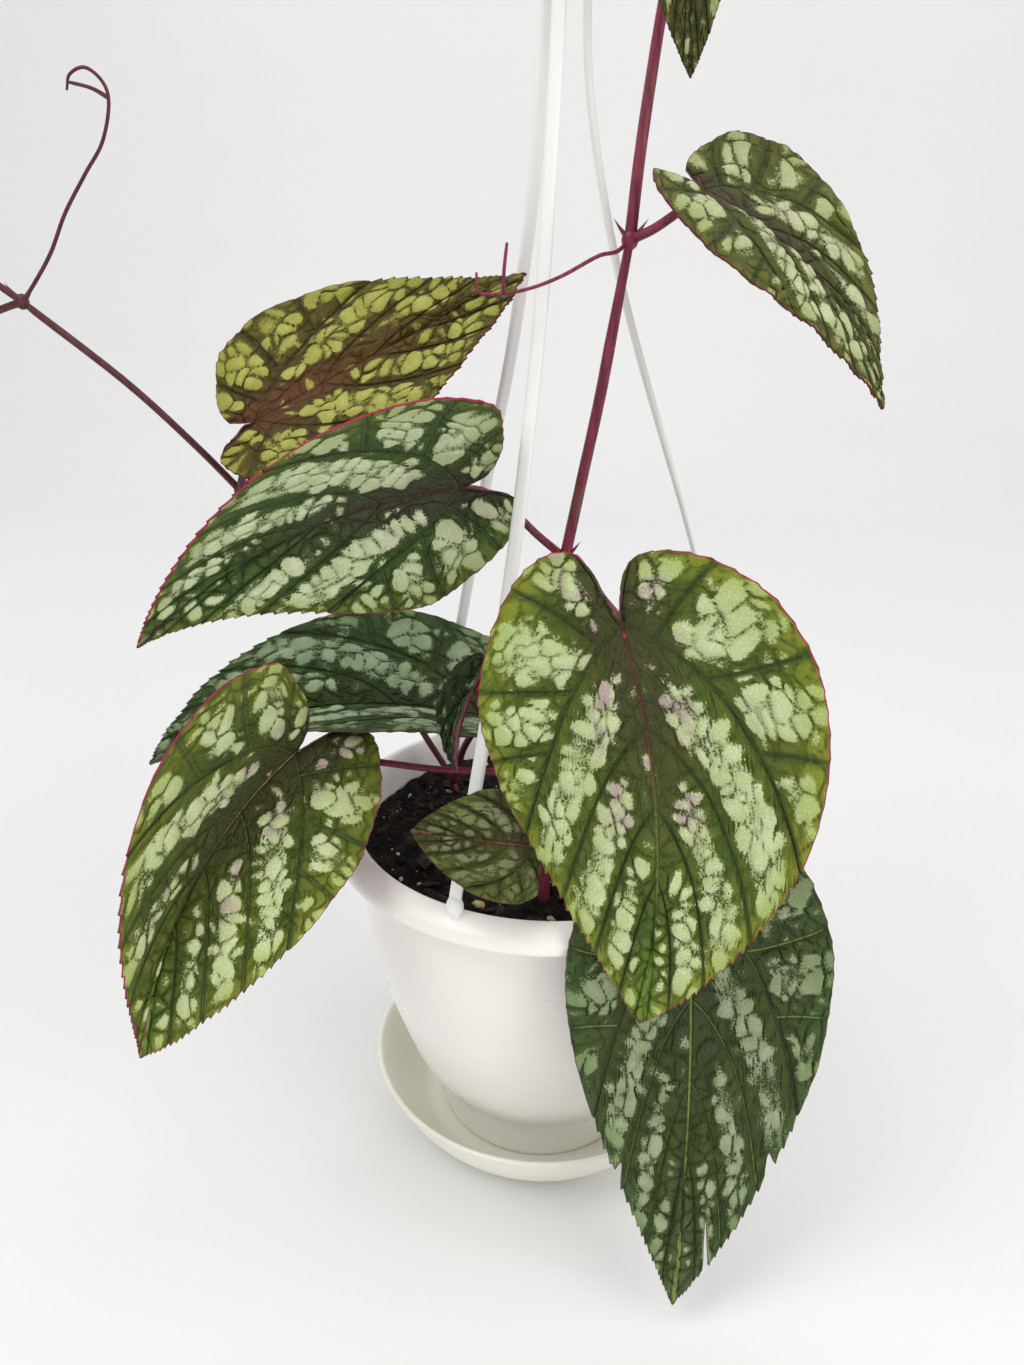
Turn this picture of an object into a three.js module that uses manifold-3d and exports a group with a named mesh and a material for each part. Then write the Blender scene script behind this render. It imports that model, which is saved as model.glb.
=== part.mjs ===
// Potted rex begonia vine in a white hanging pot that stands on its saucer.
// Millimetres, +Z up, the front of the plant towards -Y.
// The origin is the centre of the saucer's flat underside, on the pot's axis.
import * as THREE from 'three';
import Module from 'manifold-3d';
import { mergeVertices } from 'three/addons/utils/BufferGeometryUtils.js';

const wasm = await Module();
wasm.setup();

// Driving dimensions of the saucer, the pot and the soil
const SAUCER_FOOT_RADIUS = 47.8;
const SAUCER_RIM_RADIUS = 66;
const SAUCER_HEIGHT = 28.3;
const SAUCER_WALL = 2;
const SAUCER_FLOOR = 3.2;
const CLEARANCE = 0.3;
const POT_FOOT_RADIUS = 39;
const POT_HEIGHT = 137;
const RIM_INNER_RADIUS = 70;
const RIM_LIP_RADIUS = 78.6;
const RIM_LIP_HEIGHT = 130.4;
const POT_WALL = 2.2;
const DRAIN_HOLES = 4;
const DRAIN_RADIUS = 3.5;
const DRAIN_CIRCLE_RADIUS = 22;
const ROUND_SIDES = 36;
const SOIL_LEVEL = 124;
const SOIL_RELIEF = 1.6;
const SOIL_RINGS = [66.5, 58, 44, 30, 15];
const SOIL_LUMPS = 16;
const LUMP_SIZES = [2.2, 4.4];
const LUMP_DISTANCES = [16, 58];
const LUMP_RISE = 0.4;
const LUMP_SEED = 11;
const CUTTER_LENGTH = 30;

// Driving dimensions of the hanger
const STRAP_WIDTH = 4.3;
const STRAP_THICKNESS = 2.8;
const EYE_CIRCLE_RADIUS = 73.4;
const EYE_RADIUS = 2.1;
const STRAP_STEPS = 20;
const PEG_RADIUS = 1.7;
const PEG_LENGTH = 16;
const KNOB_RADIUS = 3;
const HUB_BOTTOM = 408;
const HUB_RADIUS = 10;
const HUB_HEIGHT = 22;
const HOOK_ROD_RADIUS = 2.6;

// Driving dimensions of the plant
const BLADE_THICKNESS = 0.7;
const RIGHT_STEM_RADIUS = 1.7;
const LEFT_STEM_RADIUS = 1.25;
const PETIOLE_RADIUS = 1.3;
const TENDRIL_RADIUS = 0.6;
const NODE_SWELL = 1;
const PLANTING_DEPTH = 16;
const STEM_HOLE_GAP = 1.5;
const TOOTH_REACH = 1.02;
const NOTCH_REACH = 0.99;
const NOTCH_PLACE = 0.6;
const EDGE_RELIEF = 0.4;
const SMALL_LEAF_RELIEF = 0.5;

const SIDES = { left: -1, right: 1 };

function material(colour, roughness) {
  return new THREE.MeshStandardMaterial({ color: colour, roughness, metalness: 0 });
}

const whitePlastic = material(0xeceae4, 0.35);
const creamPlastic = material(0xe4e3d8, 0.4);
const pottingMix = material(0x1d1712, 0.95);
const maroonStem = material(0x6d2436, 0.5);
const thinStem = material(0x5a2028, 0.5);
const silverGreenLeaf = material(0x6d8a4a, 0.5);
const darkLeaf = material(0x37502f, 0.5);
const oliveLeaf = material(0x84883b, 0.5);

// Closed geometry to an exact solid, turned right side out where it needs it
function solidOf(geometry) {
  const bare = geometry.clone();
  bare.deleteAttribute('normal');
  bare.deleteAttribute('uv');
  const merged = mergeVertices(bare, 1e-3);
  const vertProperties = Float32Array.from(merged.attributes.position.array);
  const triVerts = Uint32Array.from(merged.index.array);
  const solid = new wasm.Manifold(new wasm.Mesh({ numProp: 3, vertProperties, triVerts }));
  if (solid.volume() > 0) return solid;
  for (let i = 0; i < triVerts.length; i += 3) {
    [triVerts[i + 1], triVerts[i + 2]] = [triVerts[i + 2], triVerts[i + 1]];
  }
  return new wasm.Manifold(new wasm.Mesh({ numProp: 3, vertProperties, triVerts }));
}

function joined(geometries) {
  return geometries.map(solidOf).reduce((whole, piece) => whole.add(piece));
}

function geometryOf(solid) {
  const mesh = solid.getMesh();
  const geometry = new THREE.BufferGeometry();
  geometry.setAttribute('position', new THREE.BufferAttribute(mesh.vertProperties, 3));
  geometry.setIndex(new THREE.BufferAttribute(mesh.triVerts, 1));
  return geometry;
}

function named(name, geometry, finish) {
  const mesh = new THREE.Mesh(geometry, finish);
  mesh.name = name;
  return mesh;
}

// Turned shape from a list of [radius, height] points that starts and ends on the axis
function turned(profile, segments) {
  const points = profile.map(([radius, height]) => new THREE.Vector2(radius, height));
  return new THREE.LatheGeometry(points, segments).rotateX(Math.PI / 2);
}

// Round rod with flat ends along a smooth curve through the points
function rod(points, radius, sides, steps) {
  const section = new THREE.Shape();
  for (let i = 0; i < sides; i += 1) {
    const angle = (2 * Math.PI * i) / sides;
    section[i === 0 ? 'moveTo' : 'lineTo'](radius * Math.cos(angle), radius * Math.sin(angle));
  }
  section.closePath();
  const path = new THREE.CatmullRomCurve3(points.map((point) => new THREE.Vector3(...point)));
  return new THREE.ExtrudeGeometry(section, { steps, extrudePath: path, bevelEnabled: false });
}

function ball(point, radius) {
  return new THREE.IcosahedronGeometry(radius, 1).translate(...point);
}

// Saucer: a deep dish with a flat underside
function saucer() {
  const inner = SAUCER_RIM_RADIUS - SAUCER_WALL;
  return turned([
    [0, 0], [SAUCER_FOOT_RADIUS, 0], [SAUCER_FOOT_RADIUS + 1.4, 1.2],
    [SAUCER_FOOT_RADIUS + 7.5, 8], [SAUCER_RIM_RADIUS - 4.6, 17.5], [SAUCER_RIM_RADIUS - 1, 25.5],
    [SAUCER_RIM_RADIUS, SAUCER_HEIGHT - 0.8], [SAUCER_RIM_RADIUS - 0.9, SAUCER_HEIGHT],
    [inner, SAUCER_HEIGHT - 0.9], [inner - 1.2, 25.2], [inner - 5, 17.8], [inner - 11, 9.2],
    [SAUCER_FOOT_RADIUS - 1, 3.9], [SAUCER_FOOT_RADIUS - 3, SAUCER_FLOOR], [0, SAUCER_FLOOR],
  ], ROUND_SIDES);
}

// Each strap's turn about the pot's axis from the front (degrees) and how it bows on its way from the
// rim to the hub, as [distance from the axis, height]
const STRAPS = [
  { azimuth: -142, line: [[58, 187], [37, 258], [25, 296], [15, 341], [11, 373], [9.4, 391],
    [7.5, HUB_BOTTOM - CLEARANCE]] },
  { azimuth: -22, line: [[62, 166], [49, 198], [34.5, 234], [22.5, 276], [14, 315], [10, 349], [6.6, 385],
    [6, HUB_BOTTOM - CLEARANCE]] },
  { azimuth: 98, line: [[61, 193], [47, 238], [34, 274], [25, 299], [15, 331], [6.6, 372],
    [5, HUB_BOTTOM - CLEARANCE]] },
];

// Pot: outer wall from the foot up, under and over the rolled rim, then down the inner wall
const POT_BASE = SAUCER_FLOOR + CLEARANCE;
const POT_OUTSIDE = [
  [POT_FOOT_RADIUS, POT_BASE], [POT_FOOT_RADIUS + 1.6, 19], [43.4, 23], [50.4, 34], [56.2, 50],
  [62.3, 70], [67.1, 95], [69.4, 128],
];

function pot() {
  const inside = POT_OUTSIDE.slice(1).reverse().map(([radius, height]) => [radius - POT_WALL, height + 1]);
  const floor = POT_BASE + POT_WALL;
  const shell = solidOf(turned([
    [0, POT_BASE], ...POT_OUTSIDE, [70.6, 132.4], [RIM_LIP_RADIUS - 1.4, RIM_LIP_HEIGHT - 1.6],
    [RIM_LIP_RADIUS, RIM_LIP_HEIGHT], [RIM_LIP_RADIUS - 0.6, RIM_LIP_HEIGHT + 2.2],
    [RIM_LIP_RADIUS - 3.4, RIM_LIP_HEIGHT + 4.6], [RIM_INNER_RADIUS + 2, POT_HEIGHT],
    [RIM_INNER_RADIUS, POT_HEIGHT - 0.6], [RIM_INNER_RADIUS - 1.6, POT_HEIGHT - 3],
    ...inside, [POT_FOOT_RADIUS - POT_WALL, floor], [0, floor],
  ], ROUND_SIDES));
  const eye = new THREE.CylinderGeometry(EYE_RADIUS, EYE_RADIUS, CUTTER_LENGTH, 12).rotateX(Math.PI / 2);
  const drilled = STRAPS.reduce((solid, { azimuth }) => {
    const hole = eye.clone().translate(0, -EYE_CIRCLE_RADIUS, POT_HEIGHT);
    return solid.subtract(solidOf(hole.rotateZ(THREE.MathUtils.degToRad(azimuth))));
  }, shell);
  const drain = new THREE.CylinderGeometry(DRAIN_RADIUS, DRAIN_RADIUS, 2 * POT_BASE, 12).rotateX(Math.PI / 2);
  const holes = Array.from({ length: DRAIN_HOLES }, (_, i) => {
    const hole = drain.clone().translate(DRAIN_CIRCLE_RADIUS, 0, floor);
    return solidOf(hole.rotateZ((2 * Math.PI * i) / DRAIN_HOLES));
  });
  return geometryOf(holes.reduce((solid, hole) => solid.subtract(hole), drilled));
}

// Hanger strap: a flat ribbon with a knob and a peg that goes down through the rim's eye
function strap({ azimuth, line: bow }) {
  const knobHeight = POT_HEIGHT + KNOB_RADIUS + 1;
  const points = [[EYE_CIRCLE_RADIUS - 0.2, knobHeight], [RIM_INNER_RADIUS + 0.6, knobHeight + 7], ...bow];
  const line = new THREE.SplineCurve(points.map(([out, up]) => new THREE.Vector2(out, up)));
  const half = STRAP_THICKNESS / 2;
  const edge = (side) => Array.from({ length: STRAP_STEPS + 1 }, (_, i) => {
    const point = line.getPoint(i / STRAP_STEPS);
    const ahead = i === STRAP_STEPS ? new THREE.Vector2(0, 1) : line.getTangent(i / STRAP_STEPS);
    return new THREE.Vector2(point.x + side * half * ahead.y, point.y - side * half * ahead.x);
  });
  const outline = new THREE.Shape([...edge(1), ...edge(-1).reverse()]);
  const ribbon = new THREE.ExtrudeGeometry(outline, { depth: STRAP_WIDTH, bevelEnabled: false });
  ribbon.translate(0, 0, -STRAP_WIDTH / 2).rotateX(Math.PI / 2);
  const peg = new THREE.CylinderGeometry(PEG_RADIUS, PEG_RADIUS, PEG_LENGTH, 8).rotateX(Math.PI / 2);
  peg.translate(EYE_CIRCLE_RADIUS, 0, knobHeight + 1 - PEG_LENGTH / 2);
  const knob = ball([EYE_CIRCLE_RADIUS, 0, knobHeight], KNOB_RADIUS);
  const whole = geometryOf(joined([ribbon, peg, knob]));
  return whole.rotateZ(THREE.MathUtils.degToRad(azimuth - 90));
}

// Hub with the open hook on top
function hook() {
  const hub = turned([
    [0, HUB_BOTTOM], [HUB_RADIUS, HUB_BOTTOM], [HUB_RADIUS, HUB_BOTTOM + 5],
    [HUB_RADIUS - 4, HUB_BOTTOM + HUB_HEIGHT / 2], [HOOK_ROD_RADIUS + 0.8, HUB_BOTTOM + HUB_HEIGHT],
    [0, HUB_BOTTOM + HUB_HEIGHT],
  ], 20);
  const rise = HUB_BOTTOM + HUB_HEIGHT - 8;
  const curl = rod([
    [0, 0, rise], [0, 0, rise + 16], [-6, 0, rise + 24], [-12.5, 0, rise + 33], [-13, 0, rise + 43],
    [-8, 0, rise + 51.5], [0.5, 0, rise + 55], [9, 0, rise + 51.5], [13.5, 0, rise + 43], [12, 0, rise + 34],
  ], HOOK_ROD_RADIUS, 8, 30);
  return geometryOf(joined([hub, curl]));
}

// Small repeatable random numbers from 0 to 1
function seeded(seed) {
  let state = seed;
  return () => {
    state = (state * 16807) % 2147483647;
    return state / 2147483647;
  };
}

// Where the stems go into the soil, as [x, y]
const RIGHT_ROOT = [0, -42];
const LEFT_ROOT = [-36, 29];

// Soil: fills the pot, with an uneven top, larger lumps sunk into it and a plain hole for each stem
function soil() {
  const gap = POT_WALL + 2 * CLEARANCE;
  const bottom = POT_BASE + POT_WALL + CLEARANCE;
  const side = POT_OUTSIDE.slice(1, 7).map(([radius, height]) => [radius - gap, height + 1]);
  const rings = SOIL_RINGS.map((radius) => [radius, SOIL_LEVEL]);
  const foot = [[0, bottom], [POT_FOOT_RADIUS - gap, bottom]];
  const body = turned([...foot, ...side, ...rings, [0, SOIL_LEVEL]], ROUND_SIDES);
  const position = body.attributes.position;
  for (let i = 0; i < position.count; i += 1) {
    const [x, y, z] = [position.getX(i), position.getY(i), position.getZ(i)];
    const uneven = Math.sin(0.21 * x + 0.7) * Math.cos(0.17 * y) + 0.6 * Math.sin(0.43 * x - 0.37 * y);
    const clearOfWall = Math.hypot(x, y) < SOIL_RINGS[0] - 1;
    if (z > SOIL_LEVEL - 1 && clearOfWall) position.setZ(i, z + SOIL_RELIEF * uneven);
  }
  const random = seeded(LUMP_SEED);
  const lumps = Array.from({ length: SOIL_LUMPS }, () => {
    const angle = 2 * Math.PI * random();
    const distance = THREE.MathUtils.lerp(...LUMP_DISTANCES, Math.sqrt(random()));
    const size = THREE.MathUtils.lerp(...LUMP_SIZES, random());
    const lump = new THREE.IcosahedronGeometry(size, 0).rotateX(3 * random()).rotateY(3 * random());
    return lump.translate(distance * Math.cos(angle), distance * Math.sin(angle), SOIL_LEVEL + LUMP_RISE);
  });
  const holeBottom = SOIL_LEVEL - PLANTING_DEPTH - 2 * CLEARANCE;
  const holes = [
    [RIGHT_ROOT, RIGHT_STEM_RADIUS + STEM_HOLE_GAP],
    [LEFT_ROOT, LEFT_STEM_RADIUS + STEM_HOLE_GAP + CLEARANCE],
  ];
  const filled = holes.reduce((solid, [[x, y], radius]) => {
    const hole = new THREE.CylinderGeometry(radius, radius, CUTTER_LENGTH, 12).rotateX(Math.PI / 2);
    return solid.subtract(solidOf(hole.translate(x, y, holeBottom + CUTTER_LENGTH / 2)));
  }, joined([body, ...lumps]));
  return geometryOf(filled);
}

// Leaf outline of one half blade, as [share of the half width, share of the length from the petiole],
// from the notch at the petiole round the back lobe to the tip: a broad leaf and a slender one
const BROAD_HALF = [
  [0.015, 0], [0.05, -0.085], [0.13, -0.175], [0.3, -0.195], [0.55, -0.145], [0.82, -0.01], [0.97, 0.14],
  [1, 0.28], [0.965, 0.43], [0.87, 0.58], [0.71, 0.72], [0.5, 0.84], [0.25, 0.94], [0, 1],
];
const SLENDER_HALF = [
  [0.015, 0], [0.05, -0.075], [0.14, -0.15], [0.32, -0.165], [0.58, -0.115], [0.83, -0.01], [0.97, 0.1],
  [1, 0.21], [0.93, 0.36], [0.76, 0.52], [0.54, 0.67], [0.31, 0.81], [0.12, 0.925], [0, 1],
];
const VEINS = 10;
const FAN_VEINS = 5;
const FIRST_VEIN = 0.5;
const LAST_VEIN_START = 0.96;
const MARGIN_SPREAD = 1.45;
const START_SPREAD = 0.85;

// Each leaf: where its petiole joins it, its tip and the way its upper face looks, then its half widths,
// how far its midrib arches up and bows to its right, and for the right and left half the fold from
// the midrib and the further curl to the edge (degrees), the size of the back lobe and how slender it is;
// seat is how far under the blade a steep petiole ends
const LEAVES = {
  leaf_front: {
    base: [18.8, -78.5, 238.5], tip: [29.8, -93.5, 118.6], faces: [-0.33, -0.94, 0.09], widths: [50, 49],
    arch: -3, bow: -6.6, folds: [-12, -2], curls: [20, 11], lobes: [1, 0.8], slender: [0.4, 0.55],
    relief: 1.5, finish: silverGreenLeaf,
  },
  leaf_low: {
    base: [44, -73, 150], tip: [46, -103, 10], faces: [0.11, -0.96, 0.21], widths: [39, 45],
    arch: -1.8, bow: -3.1, folds: [-1, -1], curls: [-1, 0], lobes: [1, 1.19], slender: [0.85, 0.65],
    relief: 1.2, finish: darkLeaf,
  },
  leaf_left_low: {
    base: [-84, -33.4, 172.8], tip: [-120, -100.3, 103.8], faces: [0.52, -0.73, 0.44], widths: [44, 41],
    arch: 9, bow: 12, folds: [39, 27], curls: [-2, 10], lobes: [0.5, 1.12], slender: [1.2, 0.12],
    relief: 1.4, finish: silverGreenLeaf,
  },
  leaf_left_back: {
    base: [-26, 18.4, 163.6], tip: [-147, 0.4, 148.6], faces: [-0.06, -0.37, 0.93], widths: [37, 36],
    arch: 16, bow: 1, folds: [36, 33], curls: [-14, -4], lobes: [1, 1], slender: [0.47, 0.3],
    relief: 1.4, finish: darkLeaf,
  },
  leaf_left_mid: {
    base: [-30, -12, 258], tip: [-119, -63, 222], faces: [0.39, -0.88, 0.26], widths: [44, 35],
    arch: 3.4, bow: 9.4, folds: [45, -12], curls: [20, 9], lobes: [0.5, 1.19], slender: [0.8, 1.2],
    relief: 1.4, finish: silverGreenLeaf,
  },
  leaf_left_top: {
    base: [-95, -3, 276], tip: [-10, -5, 321], faces: [-0.35, -0.69, 0.64], widths: [37, 35],
    arch: -5, bow: -5.7, folds: [8, 1], curls: [-7, 17], lobes: [0.84, 0.55], slender: [0.24, 1.2],
    relief: 1.3, finish: oliveLeaf,
  },
  leaf_right_top: {
    base: [39, -17, 344], tip: [90, -38, 289], faces: [0.54, -0.48, 0.69], widths: [29, 29],
    arch: 6, bow: -6, folds: [19, 10], curls: [-43, 20], lobes: [0.87, 0.58], slender: [0, 1.19],
    relief: 1, seat: 1.35, finish: oliveLeaf,
  },
  leaf_top: {
    base: [28, -15, 434], tip: [33, -18, 371], faces: [-0.1, -0.9, 0.4], widths: [15, 15],
    arch: 3, bow: 0, folds: [18, 18], curls: [-10, -10], lobes: [1, 1], slender: [0.6, 0.6],
    relief: 0.7, seat: 0.85, small: true, finish: oliveLeaf,
  },
  leaf_young: {
    base: [-4.5, -64, 159.9], tip: [-39.9, -70, 167.6], faces: [0.27, -0.78, 0.56], widths: [16.2, 18],
    arch: 8, bow: -0.8, folds: [2, 4], curls: [-6, 8], lobes: [0.5, 0.4], slender: [0.19, 0.42],
    relief: 1, small: true, finish: oliveLeaf,
  },
  leaf_hanging: {
    base: [-22.5, -24.5, 199.3], tip: [-30.3, -26.2, 165], faces: [-0.85, -0.5, 0.2], widths: [10, 10],
    arch: 3, bow: 0, folds: [40, 40], curls: [-12, -12], lobes: [1, 1], slender: [0.5, 0.5],
    relief: 0.7, small: true, finish: darkLeaf,
  },
  leaf_shoot: {
    base: [33, -9, 466], tip: [44, -22, 438], faces: [0.3, -0.75, 0.6], widths: [9, 9],
    arch: 3, bow: 0, folds: [25, 25], curls: [0, 0], lobes: [1, 1], slender: [0.8, 0.8],
    relief: 0.5, small: true, finish: oliveLeaf,
  },
  leaf_branch_1: {
    base: [-190, -11, 326], tip: [-222, -34, 296], faces: [-0.4, -0.75, 0.55], widths: [15, 15],
    arch: 4, bow: 2, folds: [16, 16], curls: [0, 0], lobes: [1, 1], slender: [0.7, 0.7],
    relief: 0.7, small: true, finish: oliveLeaf,
  },
  leaf_branch_2: {
    base: [-196, 2, 300], tip: [-212, -14, 280], faces: [-0.5, -0.6, 0.6], widths: [8, 8],
    arch: 0.5, bow: 0, folds: [22, 22], curls: [0, 0], lobes: [1, 1], slender: [0.8, 0.8],
    relief: 0.4, small: true, finish: oliveLeaf,
  },
};

function vector(values) {
  return new THREE.Vector3(...values);
}

// The leaf's own directions: along its length, out of its upper face and to its right
function frameOf(leaf) {
  const base = vector(leaf.base);
  const along = vector(leaf.tip).sub(base);
  const length = along.length();
  along.normalize();
  const up = vector(leaf.faces);
  up.addScaledVector(along, -up.dot(along)).normalize();
  return { base, along, up, right: along.clone().cross(up), length };
}

// Point of the blade's middle surface: across is a share of the half width, to the right if positive,
// and forward is a share of the length; raised lifts it off the surface
function bladePoint(leaf, across, forward, raised) {
  const { base, along, up, right, length } = frameOf(leaf);
  const side = across < 0 ? 1 : 0;
  const ahead = Math.max(forward, 0);
  const lift = 4 * (ahead * (1 - ahead) + Math.min(forward, 0));
  const slope = 4 * (1 - 2 * ahead);
  const bend = up.clone().multiplyScalar(leaf.arch).addScaledVector(right, leaf.bow);
  const rib = base.clone().addScaledVector(along, length * forward).addScaledVector(bend, lift);
  const heading = along.clone().multiplyScalar(length).addScaledVector(bend, slope).normalize();
  const outOfFace = up.clone().addScaledVector(heading, -up.dot(heading)).normalize();
  const outward = heading.clone().cross(outOfFace);
  const width = leaf.widths[side];
  const fold = THREE.MathUtils.degToRad(leaf.folds[side]);
  const curl = THREE.MathUtils.degToRad(leaf.curls[side] || 0.01);
  const turn = fold + curl * Math.abs(across);
  const sideways = ((Math.sin(turn) - Math.sin(fold)) * width) / curl;
  const rise = ((Math.cos(fold) - Math.cos(turn)) * width) / curl;
  return rib.addScaledVector(outward, Math.sign(across) * sideways).addScaledVector(outOfFace, rise + raised);
}

// Flat place on a half blade: vein counts the side veins from the notch to the tip, and out runs
// along a vein from the midrib at 0 to the edge at 1
function veinPlace(margin, vein, out) {
  const end = margin.getPoint(1 - (1 - vein / VEINS) ** MARGIN_SPREAD);
  const late = Math.max(0, (vein - FAN_VEINS) / (VEINS - FAN_VEINS));
  const start = LAST_VEIN_START * late ** START_SPREAD;
  const back = THREE.MathUtils.smoothstep(-end.y, -0.12, 0.12);
  const turnAcross = end.x * THREE.MathUtils.lerp(0.62, 0.35, back);
  const turnForward = start + (end.y - start) * THREE.MathUtils.lerp(0.3, 0.65, back);
  const near = (1 - out) ** 2;
  const middle = 2 * out * (1 - out);
  const far = out ** 2;
  return [middle * turnAcross + far * end.x, near * start + middle * turnForward + far * end.y];
}

// Blade of one leaf: rows run out along the side veins and between them, the stretch between two
// veins stands up as a pillow, and the edge has a tooth at every row
function leafGeometry(leaf) {
  const rowStep = leaf.small ? 1 : 0.5;
  const rows = Math.round((VEINS - FIRST_VEIN) / rowStep) + (leaf.small ? 1 : 0);
  const columns = leaf.small ? 2 : 3;
  const points = [];
  const index = [];
  const known = new Map();
  const vertex = (across, forward, raised) => {
    const key = `${across.toFixed(4)} ${forward.toFixed(4)}`;
    if (!known.has(key)) {
      known.set(key, points.length);
      points.push(bladePoint(leaf, across, forward, raised));
    }
    return known.get(key);
  };
  const triangle = (a, b, c, side) => {
    if (a === b || b === c || c === a) return;
    index.push(...(side > 0 ? [a, b, c] : [a, c, b]));
  };
  Object.values(SIDES).forEach((side) => {
    const half = side > 0 ? 0 : 1;
    const margin = new THREE.SplineCurve(BROAD_HALF.map(([x, y], i) => {
      const [slimX, slimY] = SLENDER_HALF[i];
      const across = THREE.MathUtils.lerp(x, slimX, leaf.slender[half]);
      const forward = THREE.MathUtils.lerp(y, slimY, leaf.slender[half]);
      return new THREE.Vector2(across, forward < 0 ? forward * leaf.lobes[half] : forward);
    }));
    const at = (vein, out, reach = 1) => {
      const [across, forward] = veinPlace(margin, vein, out * reach);
      const pillow = leaf.small ? SMALL_LEAF_RELIEF : Math.sin(Math.PI * (vein % 1));
      const raised = out === 0 ? 0 : leaf.relief * pillow * (out === 1 ? EDGE_RELIEF : 1);
      return vertex(side * across, forward, raised);
    };
    for (let row = 0; row < rows; row += 1) {
      const vein = Math.min(FIRST_VEIN + row * rowStep, VEINS);
      const next = Math.min(vein + rowStep, VEINS);
      for (let column = 0; column < columns; column += 1) {
        const near = column / columns;
        const far = (column + 1) / columns;
        const outer = column === columns - 1;
        const tooth = outer && vein < VEINS ? TOOTH_REACH : 1;
        const nextTooth = outer && next < VEINS ? TOOTH_REACH : 1;
        const [a, b] = [at(vein, near), at(next, near)];
        const [c, d] = [at(vein, far, tooth), at(next, far, nextTooth)];
        if (outer) {
          const notch = at(vein + NOTCH_PLACE * (next - vein), 1, NOTCH_REACH);
          triangle(a, c, notch, side);
          triangle(a, notch, b, side);
          triangle(b, notch, d, side);
        } else {
          triangle(a, c, d, side);
          triangle(a, d, b, side);
        }
      }
    }
  });
  return thickened(points, index);
}

// Gives an open sheet of triangles its thickness, split alike on both faces
function thickened(points, index) {
  const normals = points.map(() => new THREE.Vector3());
  const edges = new Set();
  for (let i = 0; i < index.length; i += 3) {
    const [a, b, c] = index.slice(i, i + 3);
    const ab = points[b].clone().sub(points[a]);
    const face = ab.cross(points[c].clone().sub(points[a]));
    [a, b, c].forEach((corner) => normals[corner].add(face));
    [[a, b], [b, c], [c, a]].forEach(([from, to]) => edges.add(`${from} ${to}`));
  }
  const count = points.length;
  const position = new Float32Array(6 * count);
  points.forEach((point, i) => {
    const half = normals[i].normalize().multiplyScalar(BLADE_THICKNESS / 2);
    point.clone().add(half).toArray(position, 3 * i);
    point.clone().sub(half).toArray(position, 3 * (count + i));
  });
  const faces = [];
  for (let i = 0; i < index.length; i += 3) {
    const [a, b, c] = index.slice(i, i + 3);
    faces.push(a, b, c, count + a, count + c, count + b);
  }
  edges.forEach((edge) => {
    const [from, to] = edge.split(' ').map(Number);
    if (!edges.has(`${to} ${from}`)) faces.push(to, from, count + from, to, count + from, count + to);
  });
  const geometry = new THREE.BufferGeometry();
  geometry.setAttribute('position', new THREE.BufferAttribute(position, 3));
  geometry.setIndex(faces);
  return geometry;
}

// Petiole end, tucked under the blade where it joins the leaf
function underBase(leaf) {
  const { base, along, up } = frameOf(leaf);
  const drop = leaf.seat ?? PETIOLE_RADIUS + BLADE_THICKNESS / 2 + CLEARANCE;
  return base.addScaledVector(up, -drop).addScaledVector(along, 1).toArray();
}

function petiole(points, leaf, steps) {
  return rod([...points, underBase(leaf)], PETIOLE_RADIUS, 6, steps);
}

// Pair of pointed stipules at a stem's node
function stipules(point, size) {
  return [-1, 1].map((side) => {
    const cone = new THREE.ConeGeometry(size * 0.5, size * 2, 5);
    return cone.translate(0, size * 0.8, 0).rotateZ(side * -0.9).rotateX(Math.PI / 2).translate(...point);
  });
}

function tendril(points, steps) {
  return rod(points, TENDRIL_RADIUS, 5, steps);
}

// Right stem, up from the soil past the front leaf to the leaf at the top, with all that grows from it
const RIGHT_NODES = {
  low: [0.5, -34, 148], middle: [4, -7, 234.5], high: [19.7, -10, 331], top: [29, -6, 414],
};

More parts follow.
